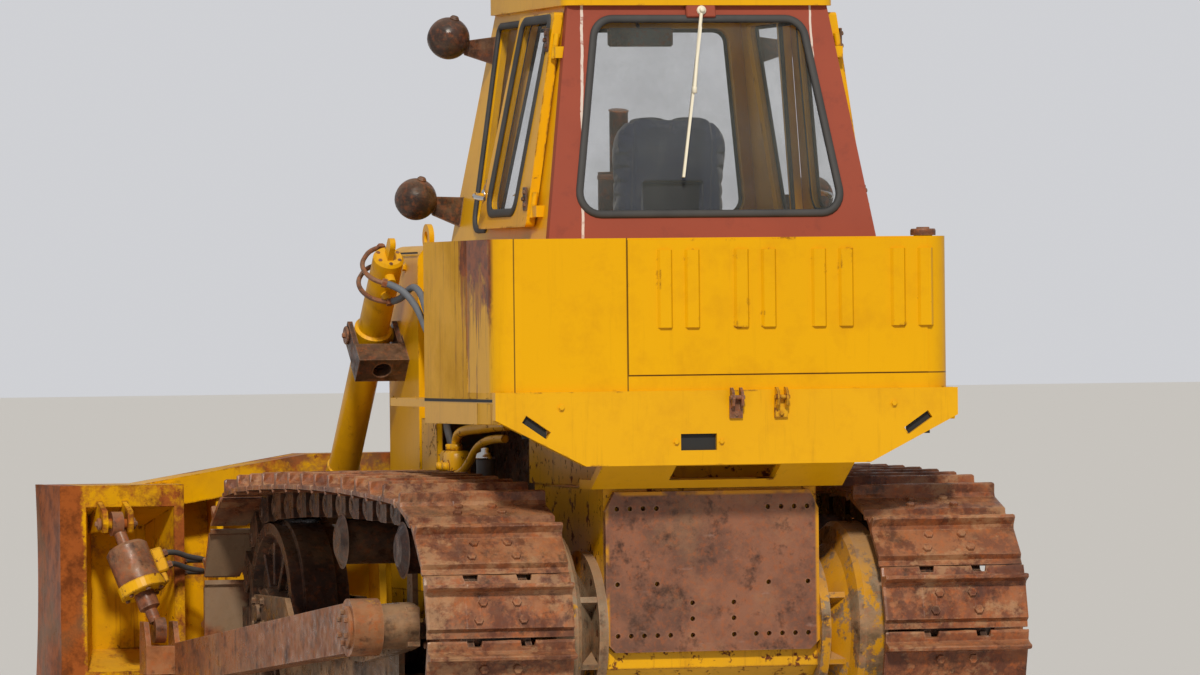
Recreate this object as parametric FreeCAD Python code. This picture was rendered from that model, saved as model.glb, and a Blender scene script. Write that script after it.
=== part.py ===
# Crawler bulldozer, straight blade with tilt cylinder, closed cab.
# Millimetres. +Y is forward, +X is the machine's right side, Z is up from the ground.
# The model is drawn with Y = 0 at the sprocket axis. At the end it is moved along Y,
# so that its origin is under the middle of the whole machine.
import FreeCAD
import Part
import math
import os

V = FreeCAD.Vector

# Chain: pins, shoes and rails
PITCH = 203.0
SPROCKET_TEETH = 25
SHOES = 37
TRACK_X = 850.0
SHOE_W = 540.0
PLATE_TOP = 80.0
PLATE_T = 20.0
GROUSER_H = 46.0
GROUSER_W = 14.0
RAIL_DEPTH = 48.0
RAIL_X = 95.0
RAIL_T = 45.0
BUSHING_R = 33.0
CHAIN_RISE = 31.0
FIT = 0.3

# Running gear
ROLLERS = 5
ROLLER_R = 100.0
ROLLER_FLANGE = 18.0
CARRIER_R = 86.0
CARRIER_PLACES = (432.0, 1330.0)
WHEEL_W = 230.0
SPROCKET_T = 54.0
FRAME_W = 324.0
FRAME_PLATE = 22.0
FRAME_BOTTOM = 205.0
FRAME_TOP = 500.0
COVER_H = 60.0
DRUM_R = 380.0
DRUM_IN = 170.0
DRIVE_W = 280.0

# Heights and places of the superstructure
REAR_PLATE_Y = -260.0
REAR_PLATE_T = 30.0
REAR_PLATE_Z = (462.0, 1037.0)
HOLE_R = 9.0
CASE_BOTTOM = 360.0
CASE_TOP = 1050.0
DECK_Z = 1375.0
DECK_T = 30.0
TANK_X = 852.0
TANK_REAR = -450.0
TANK_FRONT = -60.0
TANK_BOTTOM = 1400.0
TANK_TOP = 1945.0
TANK_CORNER = 95.0
SIDE_BOX_FRONT = 540.0
SIDE_BOX_IN = 500.0
BUMPER_T = 40.0
BUMPER_FOOT = 1135.0
BUMPER_FOOT_X = 530.0
SILL_BOTTOM = 1286.0

# Cab
CAB_Z = (1945.0, 2785.0)
CAB_X = (613.0, 487.0)
CAB_REAR = (-310.0, -145.0)
CAB_FRONT = (1040.0, 840.0)
WALL_T = 40.0
ROOF_T = 92.0
ROOF_OVERHANG = 22.0
GLASS_T = 6.0
DOOR_T = 34.0
DOOR_GAP = 6.0

# Hood and radiator guard
HOOD_X = 420.0
HOOD_TOP = 1890.0
HOOD_SIDE_BOTTOM = 1290.0
HOOD_T = 22.0
GUARD_X = 450.0
GUARD_Y = (2150.0, 2600.0)
GUARD_TOP = 1950.0
GUARD_T = 34.0
BELLY_TOP = 620.0
BELLY_X = 300.0

# Blade and its linkage
BLADE_SIDE = 440.0
EDGE_Y = 3660.0
SHEET_BACK = 3490.0
SHEET_T = 22.0
BLADE_END_TOP = 1025.0
BLADE_MID_TOP = 1134.0
BLADE_FRAME_Y = 3150.0
GROUND_GAP = 2.0
TRUNNION = (100.0, 560.0)
ARM_OUT = 360.0
ARM_W = 110.0
ARM_H = 180.0
ARM_FRONT = (3055.0, 315.0)
EYE_R = 72.0
EYE_W = 50.0
LUG_GAP = 20.0
LUG_T = 25.0
LIFT_LUG_GAP = 34.0
EDGE_T = 26.0
LIFT_X = 550.0
LIFT_YOKE = (2476.0, 1606.0)
LIFT_EYE = (3350.0, 641.0)
LIFT_BARREL_R = 60.0
LIFT_BORE_R = 46.0
LIFT_ROD_R = 35.0
LIFT_HEAD = 410.0
LIFT_GLAND = 735.0
LIFT_PISTON = 200.0
RING_T = 14.0
YOKE_GAP = 5.0
YOKE_T = 20.0
TRUNNION_R = 28.0
TILT_TOP_OUT = 230.0
TILT_EYE_OUT = 100.0
TILT_BARREL_R = 85.0
TILT_ROD_R = 42.0
TILT_EYE_R = 50.0
TILT_EYE_W = 44.0
TILT_LUG_GAP = 26.0
TILT_NECK_R = 25.0
TILT_PIN_R = 20.0
TILT_BALL_R = 32.0
TILT_TOP_GAP = 18.0
BALL_R = 40.0
BALL_PIN_R = 22.0

# Worked out from the sizes above
DRUM_OUT = TRACK_X - DRUM_IN
CASE_X = DRUM_OUT - DRIVE_W
REAR_PLATE_X = CASE_X - 0.5
ARM_X = TRACK_X + ARM_OUT
BLADE_X = ARM_X + BLADE_SIDE
TILT_TOP = (-ARM_X - TILT_TOP_OUT, 3080.0, 875.0)
TILT_EYE = (-ARM_X - TILT_EYE_OUT, 2920.0, 460.0)
PIN_R = PITCH / 2 / math.sin(2 * math.pi / SPROCKET_TEETH)
AXLE_Z = PIN_R + PLATE_TOP + GROUSER_H
WRAP = SPROCKET_TEETH / 8
RUN = (SHOES - 4 * WRAP) / 2
WHEELBASE = RUN * PITCH
STEP = 2 * math.pi / (4 * WRAP)
IDLER_R = PIN_R * math.cos(STEP / 2) - RAIL_DEPTH - FIT
RAIL_TOP = AXLE_Z - PIN_R + RAIL_DEPTH


def box(x0, x1, y0, y1, z0, z1):
    return Part.makeBox(x1 - x0, y1 - y0, z1 - z0, V(x0, y0, z0))


def bar(start, end, radius):
    axis = end.sub(start)
    return Part.makeCylinder(radius, axis.Length, start, axis)


def face_of(points):
    return Part.Face(Part.makePolygon(points + points[:1]))


def side_prism(outline, x0, x1):
    """A prism across the machine, from an outline of (y, z) points."""
    return face_of([V(x0, y, z) for y, z in outline]).extrude(V(x1 - x0, 0, 0))


def rear_prism(outline, y0, y1):
    """A prism along the machine, from an outline of (x, z) points."""
    return face_of([V(x, y0, z) for x, z in outline]).extrude(V(0, y1 - y0, 0))


def rounded(outline, radii):
    """A closed wire through the points of a flat outline, each corner an arc of its radius."""
    edges = []
    ends = []
    count = len(outline)
    for i, corner in enumerate(outline):
        to_last = outline[i - 1].sub(corner).normalize()
        to_next = outline[(i + 1) % count].sub(corner).normalize()
        half = to_last.getAngle(to_next) / 2
        reach = radii[i] / math.tan(half)
        inward = to_last.add(to_next).normalize()
        middle = corner.add(inward * (radii[i] / math.sin(half) - radii[i]))
        ends.append((corner.add(to_last * reach), middle, corner.add(to_next * reach)))
    for i in range(count):
        start, middle, end = ends[i]
        edges.append(Part.Arc(start, middle, end).toShape())
        edges.append(Part.LineSegment(end, ends[(i + 1) % count][0]).toShape())
    return Part.Wire(edges)


def turned(profile, y, z):
    """A solid turned about an axis along X through (y, z), from (x, radius) points."""
    face = face_of([V(x, y, z + r) for x, r in profile])
    return face.revolve(V(0, y, z), V(1, 0, 0), 360)


def join(solids):
    return solids[0].multiFuse(solids[1:]).removeSplitter()


def apart(shapes):
    """Separate solids that touch: each shape gives way to those before it."""
    kept = []
    for shape in shapes:
        for before in kept:
            if shape.BoundBox.intersect(before.BoundBox):
                shape = shape.cut(before)
        kept += shape.Solids
    return Part.makeCompound(kept)


def mirrored(shape):
    return shape.mirror(V(0, 0, 0), V(1, 0, 0))


def frustum(x0, x1, y0, y1, z=CAB_Z):
    """A solid between two level rectangles. Each of x0, x1, y0, y1 is (bottom, top)."""
    wires = []
    for level in (0, 1):
        corners = ((x0, y0), (x1, y0), (x1, y1), (x0, y1))
        points = [V(x[level], y[level], z[level]) for x, y in corners]
        wires.append(Part.makePolygon(points + points[:1]))
    return Part.makeLoft(wires, True, True)


nodes = {}


def both_sides(name, left):
    """The left piece and its mirror image on the right."""
    nodes[name + "_left"] = left
    nodes[name + "_right"] = mirrored(left)


# The chain, in the side view

def pin_place(u):
    """Middle of a pin u pitches round the loop, from the rearmost one up over the top."""
    if u < WRAP:
        angle = math.pi - u * STEP
        return V(0, PIN_R * math.cos(angle), AXLE_Z + PIN_R * math.sin(angle))
    u = u - WRAP
    if u < RUN:
        t = u / RUN
        return V(0, t * WHEELBASE, AXLE_Z + PIN_R + CHAIN_RISE * 4 * t * (1 - t))
    u = u - RUN
    if u < 2 * WRAP:
        angle = math.pi / 2 - u * STEP
        return V(0, WHEELBASE + PIN_R * math.cos(angle), AXLE_Z + PIN_R * math.sin(angle))
    u = u - 2 * WRAP
    if u < RUN:
        return V(0, WHEELBASE * (1 - u / RUN), AXLE_Z - PIN_R)
    angle = -math.pi / 2 - (u - RUN) * STEP
    return V(0, PIN_R * math.cos(angle), AXLE_Z + PIN_R * math.sin(angle))


def outward(start, end):
    way = end.sub(start).normalize()
    return V(0, -way.z, way.y)


def chain():
    """A loop of links that touch: each has a shoe with one grouser, two rails and the bushing at its pin."""
    pins = [pin_place(k) for k in range(SHOES)]
    half = PITCH / 2
    # Along the link from its middle, and out from the line of pins
    shoe_top = (
        (5 - half, PLATE_TOP),
        (half - 46, PLATE_TOP),
        (half - 20 - GROUSER_W, PLATE_TOP + GROUSER_H),
        (half - 20, PLATE_TOP + GROUSER_H),
        (half - 8, PLATE_TOP),
    )
    rail_foot = ((half - 25, -RAIL_DEPTH), (25 - half, -RAIL_DEPTH))
    plate_in = PLATE_TOP - PLATE_T
    reach = RAIL_X - RAIL_T / 2
    links = []
    for k in range(SHOES):
        pin, after, next_after = pins[k], pins[(k + 1) % SHOES], pins[(k + 2) % SHOES]
        middle = pin.add(after).multiply(0.5)
        along = after.sub(pin).normalize()
        out = outward(pin, after)
        first, last = outward(pins[k - 1], after), outward(pin, next_after)

        def at_pins(height):
            return pin.add(first * height), after.add(last * height)

        def on_link(points):
            return [middle.add(along * s).add(out * n) for s, n in points]

        top_first, top_last = at_pins(PLATE_TOP - 12)
        under_first, under_last = at_pins(plate_in)
        shoe = [under_first, top_first] + on_link(shoe_top) + [top_last, under_last]
        head_first, head_last = at_pins(plate_in + 4)
        foot_first, foot_last = at_pins(8 - RAIL_DEPTH)
        rail = [foot_first, head_first, head_last, foot_last] + on_link(rail_foot)
        ring = []
        for i in range(8):
            angle = math.pi / 8 * (2 * i + 1)
            ring.append(V(0, pin.y + BUSHING_R * math.cos(angle), pin.z + BUSHING_R * math.sin(angle)))
        pieces = []
        for outline, x, width in ((shoe, -SHOE_W / 2, SHOE_W), (rail, -RAIL_X - RAIL_T / 2, RAIL_T),
                                  (rail, RAIL_X - RAIL_T / 2, RAIL_T), (ring, -reach, 2 * reach)):
            pieces.append(face_of(outline).extrude(V(width, 0, 0)).translated(V(x - TRACK_X, 0, 0)))
        links.append(join(pieces))
    return Part.makeCompound(links)


def sprocket():
    """A toothed rim that meets every second bushing, on a bolted hub."""
    pitch_angle = 2 * math.pi / SPROCKET_TEETH
    root = PIN_R - BUSHING_R - 6
    tip = PIN_R + 14
    # Radius, and share of the angle between two teeth
    tooth = ((root, -0.30), (tip, -0.10), (tip, 0.10), (root, 0.30))
    outline = []
    for k in range(SPROCKET_TEETH):
        for radius, share in tooth:
            angle = math.pi + pitch_angle * (k + 0.5 + share)
            outline.append((radius * math.cos(angle), AXLE_Z + radius * math.sin(angle)))
    left, right = -TRACK_X - SPROCKET_T / 2, -TRACK_X + SPROCKET_T / 2
    rim = side_prism(outline, left, right)
    hub = turned(
        ((left - 95, 0), (left - 95, 105), (left - 70, 130), (left, 150), (left, 215),
         (right, 215), (right + 60, 180), (-DRUM_OUT, 180), (-DRUM_OUT, 0)), 0, AXLE_Z)
    return join([rim, hub])


def idler():
    """A dished wheel with a middle flange, on its shaft."""
    half = WHEEL_W / 2
    hub = FRAME_W / 2 - FRAME_PLATE - FIT
    flange = RAIL_X - RAIL_T / 2 - 6
    profile = (
        (-hub, 0), (-hub, 95), (-half + 40, 110), (-half + 40, IDLER_R - 55),
        (-half, IDLER_R - 40), (-half, IDLER_R), (-flange, IDLER_R), (4 - flange, IDLER_R + 14),
        (flange - 4, IDLER_R + 14), (flange, IDLER_R), (half, IDLER_R), (half, IDLER_R - 40),
        (half - 40, IDLER_R - 55), (half - 40, 110), (hub, 95), (hub, 0))
    wheel = turned([(x - TRACK_X, r) for x, r in profile], WHEELBASE, AXLE_Z)
    reach = FRAME_W / 2
    shaft = bar(V(-TRACK_X - reach, WHEELBASE, AXLE_Z), V(-TRACK_X + reach, WHEELBASE, AXLE_Z), 40)
    return join([wheel, shaft])


def roller(y, z, radius, half):
    """A roller with a flange outside each rail, at rest on or under the rails."""
    flange = RAIL_X + RAIL_T / 2 + 2
    profile = ((-half, 0), (-half, 60), (-flange, radius + ROLLER_FLANGE), (-flange, radius),
               (flange, radius), (flange, radius + ROLLER_FLANGE), (half, 60), (half, 0))
    return turned([(x - TRACK_X, r) for x, r in profile], y, z)


def roller_places():
    """The bottom rollers' places, evenly between the sprocket and the idler."""
    first = PIN_R + 60
    last = WHEELBASE - PIN_R - 20
    return [first + k * (last - first) / (ROLLERS - 1) for k in range(ROLLERS)]


def carrier_height(y):
    rise = CHAIN_RISE * 4 * y / WHEELBASE * (1 - y / WHEELBASE)
    return AXLE_Z + PIN_R + rise - RAIL_DEPTH - CARRIER_R - 1.5


def rollers():
    inner = FRAME_W / 2 - FRAME_PLATE - FIT
    solids = []
    for y in roller_places():
        solids.append(roller(y, RAIL_TOP + ROLLER_R + FIT, ROLLER_R, inner))
    for y in CARRIER_PLACES:
        solids.append(roller(y, carrier_height(y), CARRIER_R, inner))
    return Part.makeCompound(solids)


def track_frame():
    """Two long side plates with a roofed cover, the idler's fork, posts and braces."""
    half = FRAME_W / 2
    tail = min(CARRIER_PLACES) - 87
    fork = AXLE_Z
    nose = WHEELBASE + 115
    # Side view of a side plate
    plate = ((tail, 380), (tail + 120, FRAME_BOTTOM), (WHEELBASE - PIN_R + 20, FRAME_BOTTOM),
             (WHEELBASE - 250, fork - 70), (nose - 40, fork - 70), (nose, fork - 30),
             (nose, fork + 30), (nose - 40, fork + 70), (WHEELBASE - 420, fork + 70),
             (WHEELBASE - 520, FRAME_TOP), (tail, FRAME_TOP))
    cover_rear = PIN_R + GROUSER_H + 16
    cover_front = WHEELBASE - 520
    solids = []
    for x in (-TRACK_X - half, -TRACK_X + half - FRAME_PLATE):
        solids.append(side_prism(plate, x, x + FRAME_PLATE))
    roof = ((-TRACK_X - half, FRAME_TOP), (-TRACK_X - 60, FRAME_TOP + COVER_H),
            (-TRACK_X + 60, FRAME_TOP + COVER_H), (-TRACK_X + half, FRAME_TOP))
    solids.append(rear_prism(roof, cover_rear, cover_front))
    # Posts of the carrier rollers, on the side towards the hull
    post_x = -TRACK_X + half - FRAME_PLATE
    for y in CARRIER_PLACES:
        top = carrier_height(y)
        post = side_prism(((y - 45, FRAME_TOP - 20), (y + 45, FRAME_TOP - 20), (y + 34, top),
                           (y - 34, top)), post_x, post_x + FRAME_PLATE)
        head = bar(V(post_x, y, top), V(post_x + FRAME_PLATE, y, top), 50)
        solids += [post, head]
    # Brace to the case and saddle of the cross bar
    solids.append(box(-TRACK_X + half, -CASE_X, 620, 760, 330, 450))
    solids.append(box(-TRACK_X + half, -BELLY_X, 1690, 1800, 400, 500))
    # Carrier of the push arm's trunnion
    y, z = TRUNNION
    arm_in = ARM_X - ARM_W / 2
    wing = ((y - 62, z - 70), (y + 60, z - 90), (tail + 360, z - 150), (tail + 560, z - 150),
            (tail + 560, FRAME_TOP - 25), (tail + 300, z + 60), (y + 60, z + 85), (y - 62, z + 70))
    solids.append(side_prism(wing, -TRACK_X - half - 45, -TRACK_X - half))
    solids.append(bar(V(-TRACK_X - half - 5, y, z), V(-arm_in + 4, y, z), 82))
    solids.append(bar(V(-arm_in + 6, y, z), V(-ARM_X - ARM_W / 2 + 12, y, z), 46))
    hole = bar(V(-TRACK_X - half - 1, WHEELBASE, AXLE_Z), V(-TRACK_X + half + 1, WHEELBASE, AXLE_Z), 40 + FIT)
    return apart([solid.cut(hole) for solid in solids])


def final_drive():
    """A bolted flange on the case, a ribbed cone and the wide round drum by the chain."""
    profile = ((-CASE_X, 0), (-CASE_X, 290), (-CASE_X - 34, 290), (-CASE_X - 34, 190),
               (-CASE_X - 105, 300), (-CASE_X - 120, DRUM_R - 18), (-CASE_X - 138, DRUM_R),
               (-DRUM_OUT + 60, DRUM_R), (-DRUM_OUT, DRUM_R - 70), (-DRUM_OUT, 0))
    cone = turned(profile, 0, AXLE_Z)
    ribs = []
    for angle in (25, 155, 205, 335):
        rib = box(-CASE_X - 120, -CASE_X - 20, 0, 285, AXLE_Z - 11, AXLE_Z + 11)
        rib.rotate(V(0, 0, AXLE_Z), V(1, 0, 0), angle)
        ribs.append(rib)
    return join([cone] + ribs)


nodes["track_left"] = chain()
nodes["track_right"] = nodes["track_left"].translated(V(2 * TRACK_X, 0, 0))
both_sides("sprocket", sprocket())
both_sides("idler", idler())
both_sides("rollers", rollers())
both_sides("track_frame", track_frame())
both_sides("final_drive", final_drive())


def main_case():
    """The steering case between the tracks and the gear cover that carries the deck."""
    rear = REAR_PLATE_Y + REAR_PLATE_T
    case = side_prism(((rear, REAR_PLATE_Z[0] - 60), (rear + 60, CASE_BOTTOM), (620, CASE_BOTTOM),
                       (620, CASE_TOP - 90), (540, CASE_TOP), (rear, CASE_TOP)), -CASE_X, CASE_X)
    cover = side_prism(((rear + 90, CASE_TOP), (1040, CASE_TOP), (1040, DECK_Z - DECK_T),
                        (rear + 140, DECK_Z - DECK_T)), -BELLY_X - 20, BELLY_X + 20)
    bell = side_prism(((620, BELLY_TOP), (1040, BELLY_TOP), (1040, CASE_TOP), (620, CASE_TOP)),
                      -BELLY_X, BELLY_X)
    return join([case, cover, bell])


# Bolt holes of the rear plate, as (name, x from the middle, z under the top row, how they repeat)
REAR_PLATE_TOP_ROW = 60.0
REAR_HOLES = (
    ("outer", 357.0, (0.0, 456.0)),
    ("second", 308.0, (0.0, 456.0)),
    ("third", 259.0, (0.0, 456.0)),
    ("inner", 209.0, (0.0, 456.0)),
    ("bottom", 160.5, (456.0,)),
    ("middle_outer", 357.0, (271.0,)),
    ("middle_inner", 209.0, (271.0,)),
    ("centre_upper", 77.5, (341.0, 398.0)),
    ("centre_lower", 77.5, (457.0,)),
)


def rear_plate():
    """The thick drilled plate where a hitch or winch is bolted on."""
    x, (low, high), cut = REAR_PLATE_X, REAR_PLATE_Z, 34
    outline = ((-x + cut, low), (x - cut, low), (x, low + cut), (x, high - cut * 2), (x - cut, high),
               (-x + cut, high), (-x, high - cut * 2), (-x, low + cut))
    plate = rear_prism(outline, REAR_PLATE_Y, REAR_PLATE_Y + REAR_PLATE_T)
    holes = []
    for name, from_middle, drops in REAR_HOLES:
        for drop in drops:
            for side in (-1, 1):
                start = V(side * from_middle, REAR_PLATE_Y - 1, high - REAR_PLATE_TOP_ROW - drop)
                holes.append(bar(start, start.add(V(0, REAR_PLATE_T + 2, 0)), HOLE_R))
    return plate.cut(Part.makeCompound(holes))


def main_frame():
    """The belly and side rails under the engine, with the front crossmember."""
    front = GUARD_Y[1]
    belly = side_prism(((620, CASE_BOTTOM), (front - 120, CASE_BOTTOM), (front, CASE_BOTTOM + 110),
                        (front, BELLY_TOP), (620, BELLY_TOP)), -BELLY_X, BELLY_X)
    cheeks = []
    for side in (-1, 1):
        x0, x1 = sorted((side * BELLY_X, side * GUARD_X))
        outline = ((GUARD_Y[0] - 60, BELLY_TOP), (GUARD_Y[0] + 60, CASE_BOTTOM + 90),
                   (front, CASE_BOTTOM + 130), (front, BELLY_TOP))
        cheeks.append(side_prism(outline, x0, x1))
    return join([belly] + cheeks)


def engine():
    """The engine as one heavy block with its sump, manifold side and fan end."""
    block = box(-190, 190, 1060, 2020, BELLY_TOP + 180, 1480)
    sump = side_prism(((1040, BELLY_TOP), (2060, BELLY_TOP), (2020, BELLY_TOP + 180),
                       (1060, BELLY_TOP + 180)), -170, 170)
    head = box(-150, 150, 1120, 1990, 1480, 1640)
    cover = box(-95, 95, 1150, 1960, 1640, 1730)
    manifold = bar(V(205, 1200, 1560), V(205, 1920, 1560), 58)
    fan_hub = bar(V(0, 2019, 1300), V(0, 2110, 1300), 70)
    return join([block, sump, head, cover, manifold, fan_hub])


def deck():
    """The flat deck on the gear cover, with a turned-down sill along each side."""
    plate = box(-TANK_X, TANK_X, TANK_FRONT - 130, CAB_FRONT[0], DECK_Z - DECK_T, DECK_Z)
    sills = []
    for side in (-1, 1):
        x0, x1 = sorted((side * (TANK_X - 16), side * TANK_X))
        sills.append(box(x0, x1, TANK_FRONT - 130, SIDE_BOX_FRONT, SILL_BOTTOM, DECK_Z - DECK_T))
    rear_web = box(-TANK_X, TANK_X, TANK_REAR + 30, TANK_FRONT - 130, DECK_Z - 40, TANK_BOTTOM)
    return join([plate, rear_web] + sills)


# Pressed ribs of the rear panel: middles of the pairs across the machine
RIB_PAIRS = (-175.0, 110.0, 400.0, 698.0)
RIB_SPREAD = 102.0
RIB_W = 64.0
RIB_Z = (1625.0, 1902.0)
PANEL_X = (-363.0, 843.0)
PANEL_Z = (1458.0, 1938.0)
FILLER = (774.0, -360.0)
FILLER_R = 44.0
FILLER_H = 26.0


def rear_tank():
    """The tank across the rear, with rounded rear corners and a ribbed panel on its back."""
    x, r = TANK_X, TANK_CORNER
    plan = [V(-x, TANK_FRONT, TANK_BOTTOM), V(-x, TANK_REAR, TANK_BOTTOM),
            V(x, TANK_REAR, TANK_BOTTOM), V(x, TANK_FRONT, TANK_BOTTOM)]
    tank = Part.Face(rounded(plan, (6, r, r, 6))).extrude(V(0, 0, TANK_TOP - TANK_BOTTOM))
    panel = box(PANEL_X[0], TANK_X - r, TANK_REAR - 5, TANK_REAR + 5, PANEL_Z[0], PANEL_Z[1])
    solids = [tank, panel]
    for middle in RIB_PAIRS:
        for side in (-1, 1):
            at = middle + side * RIB_SPREAD / 2
            lean = RIB_W / 2 - 12
            section = [V(at - RIB_W / 2, TANK_REAR, RIB_Z[0]), V(at - lean, TANK_REAR - 16, RIB_Z[0]),
                       V(at + lean, TANK_REAR - 16, RIB_Z[0]), V(at + RIB_W / 2, TANK_REAR, RIB_Z[0])]
            solids.append(face_of(section).extrude(V(0, 0, RIB_Z[1] - RIB_Z[0])))
    foot = V(FILLER[0], FILLER[1], TANK_TOP - 2)
    solids.append(bar(foot, foot.add(V(0, 0, 10)), FILLER_R - 10))
    solids.append(bar(foot.add(V(0, 0, 8)), foot.add(V(0, 0, FILLER_H)), FILLER_R))
    return join(solids)


def side_box():
    """The box beside the driver, between the tank and the door step."""
    x = TANK_X
    body = box(-x, -SIDE_BOX_IN, TANK_FRONT, SIDE_BOX_FRONT, DECK_Z, TANK_TOP)
    return body


# Latches on the seam between the bumper and the tank
LATCHES = (26.0, 194.0)
LATCH_W = 48.0
LATCH_Z = (1300.0, 1378.0)
LATCH_PIN_R = 7.0


def latch(x, face):
    """A bracket plate with two cheeks and the pin between them."""
    low, high = LATCH_Z
    half = LATCH_W / 2
    cheek = ((face + 1, low + 30), (face - 34, low + 45), (face - 40, low + 68), (face - 34, low + 92),
             (face - 16, high + 30), (face + 1, high + 30))
    solids = [box(x - half, x + half, face - 10, face + 1, low, high),
              bar(V(x - half - 2, face - 27, high - 4), V(x + half + 2, face - 27, high - 4), LATCH_PIN_R)]
    for x0 in (x - half + 3, x + half - 11):
        solids.append(side_prism(cheek, x0, x0 + 8))
    return solids


def rear_bumper():
    """The thick apron under the tank, folded under in the middle, with its slots."""
    face = TANK_REAR - 24
    x, foot = TANK_X + 10, BUMPER_FOOT_X
    outline = ((-x, TANK_BOTTOM), (-x, TANK_BOTTOM - 98), (-foot, BUMPER_FOOT), (foot, BUMPER_FOOT),
               (x, TANK_BOTTOM - 98), (x, TANK_BOTTOM))
    apron = rear_prism(outline, face, face + BUMPER_T)
    rear = REAR_PLATE_Y + REAR_PLATE_T
    fold = side_prism(((face, BUMPER_FOOT), (-322, CASE_TOP + FIT), (rear + 60, CASE_TOP + FIT),
                       (rear + 60, CASE_TOP + 34), (-318, CASE_TOP + 34), (face + BUMPER_T, BUMPER_FOOT + 16)),
                      -foot + 60, foot - 60)
    webs = []
    for side in (-1, 1):
        for at in (foot - 90, TANK_X - 40):
            x0, x1 = sorted((side * at, side * (at - 20)))
            webs.append(box(x0, x1, face + BUMPER_T, TANK_FRONT - 140, SILL_BOTTOM + 12, DECK_Z - 40 - FIT))
    body = join([apron, fold] + webs)
    slots = [box(-178, -44, face - 1, face + BUMPER_T + 1, 1187, 1246),
             box(-195, 195, face + BUMPER_T - 60, -300, 1080, BUMPER_FOOT - 3)]
    for side in (-1, 1):
        slot = box(-54, 54, face - 1, face + BUMPER_T + 1, -15, 15)
        slot.rotate(V(0, 0, 0), V(0, 1, 0), -side * 34)
        slot.translate(V(side * 712, 0, 1276))
        slots.append(slot)
    body = body.cut(Part.makeCompound(slots))
    fittings = []
    for at in LATCHES:
        fittings += latch(at, face)
    return join([body] + fittings)


def hood():
    """The bent hood over the engine, with louvres in both sides."""
    z0, z1, r = HOOD_SIDE_BOTTOM, HOOD_TOP, 60

    def arch(x, top, bend):
        points = [V(-x, CAB_FRONT[0], z0), V(-x, CAB_FRONT[0], top), V(x, CAB_FRONT[0], top),
                  V(x, CAB_FRONT[0], z0)]
        return Part.Face(rounded(points, (1, bend, bend, 1))).extrude(V(0, GUARD_Y[0] - CAB_FRONT[0], 0))

    shell = arch(HOOD_X, z1, r).cut(arch(HOOD_X - HOOD_T, z1 - HOOD_T, r - HOOD_T).translated(V(0, 0, -2)))
    lower = box(-HOOD_X + HOOD_T, HOOD_X - HOOD_T, CAB_FRONT[0], GUARD_Y[0], z0 - 1, z0 + 30)
    slots = []
    for k in range(6):
        y = 1180 + k * 150
        slots.append(box(-HOOD_X - 1, HOOD_X + 1, y, y + 70, 1560, 1580))
        slots.append(box(-HOOD_X - 1, HOOD_X + 1, y, y + 70, 1500, 1520))
        slots.append(box(-HOOD_X - 1, HOOD_X + 1, y, y + 70, 1440, 1460))
    return shell.cut(Part.makeCompound([lower] + slots))


def radiator_guard():
    """The heavy frame round the radiator, with rounded shoulders and a lifting eye each side."""
    y0, y1 = GUARD_Y

    def ring(x, low, top, bend):
        points = [V(-x, y0, low), V(-x, y0, top), V(x, y0, top), V(x, y0, low)]
        return Part.Face(rounded(points, (1, bend, bend, 1))).extrude(V(0, y1 - y0, 0))

    outer = ring(GUARD_X, BELLY_TOP, GUARD_TOP, 70)
    inner = ring(GUARD_X - GUARD_T, BELLY_TOP + GUARD_T, GUARD_TOP - GUARD_T, 70 - GUARD_T)
    frame = outer.cut(inner)
    solids = [frame]
    for side in (-1, 1):
        start, end = V(side * 356, 2300, GUARD_TOP + 30), V(side * 384 - side * 8, 2300, GUARD_TOP + 30)
        solids.append(bar(start, end, 54).cut(bar(start.sub(V(side, 0, 0)), end.add(V(side, 0, 0)), 26)))
    return join(solids)


def radiator():
    """The core in its header tanks, seen through the grille."""
    gap = GUARD_T + FIT
    core = box(-GUARD_X + gap, GUARD_X - gap, 2290, 2390, BELLY_TOP + gap, GUARD_TOP - 70)
    header = box(-GUARD_X + 90, GUARD_X - 90, 2260, 2420, GUARD_TOP - 170, GUARD_TOP - gap)
    return join([core, header])


# Grille bars across the radiator opening
GRILLE_BARS = 9


def grille():
    x = GUARD_X - GUARD_T - FIT
    low, high = BELLY_TOP + GUARD_T + FIT, GUARD_TOP - 70 - FIT
    y0, y1 = GUARD_Y[1] - 60, GUARD_Y[1] - 20
    rim = box(-x, x, y0, y1, low, high).cut(box(-x + 50, x - 50, y0 - 1, y1 + 1, low + 50, high - 50))
    solids = [rim]
    step = (2 * x - 100) / GRILLE_BARS
    for k in range(1, GRILLE_BARS):
        at = -x + 50 + k * step
        solids.append(box(at - 9, at + 9, y0 + 8, y1 - 8, low + 40, high - 40))
    solids.append(box(-x + 40, x - 40, y0 + 12, y1 - 12, (low + high) / 2 - 15, (low + high) / 2 + 15))
    return join(solids)


def exhaust():
    """The silencer and its raked tail pipe, standing on the hood."""
    foot = V(230, 1690, HOOD_TOP)
    parts = [bar(foot, foot.add(V(0, 0, 60)), 45)]
    parts.append(bar(foot.add(V(0, 0, 55)), foot.add(V(0, 0, 330)), 82))
    parts.append(bar(foot.add(V(0, 0, 325)), foot.add(V(0, 0, 560)), 36))
    return join(parts)


def air_cleaner():
    """The inlet stem and bowl of the air cleaner."""
    foot = V(-190, 1330, HOOD_TOP)
    stem = bar(foot, foot.add(V(0, 0, 120)), 48)
    bowl = Part.makeCone(92, 78, 120, foot.add(V(0, 0, 118)))
    cap = Part.makeCone(100, 60, 34, foot.add(V(0, 0, 236)))
    return join([stem, bowl, cap])


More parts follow.
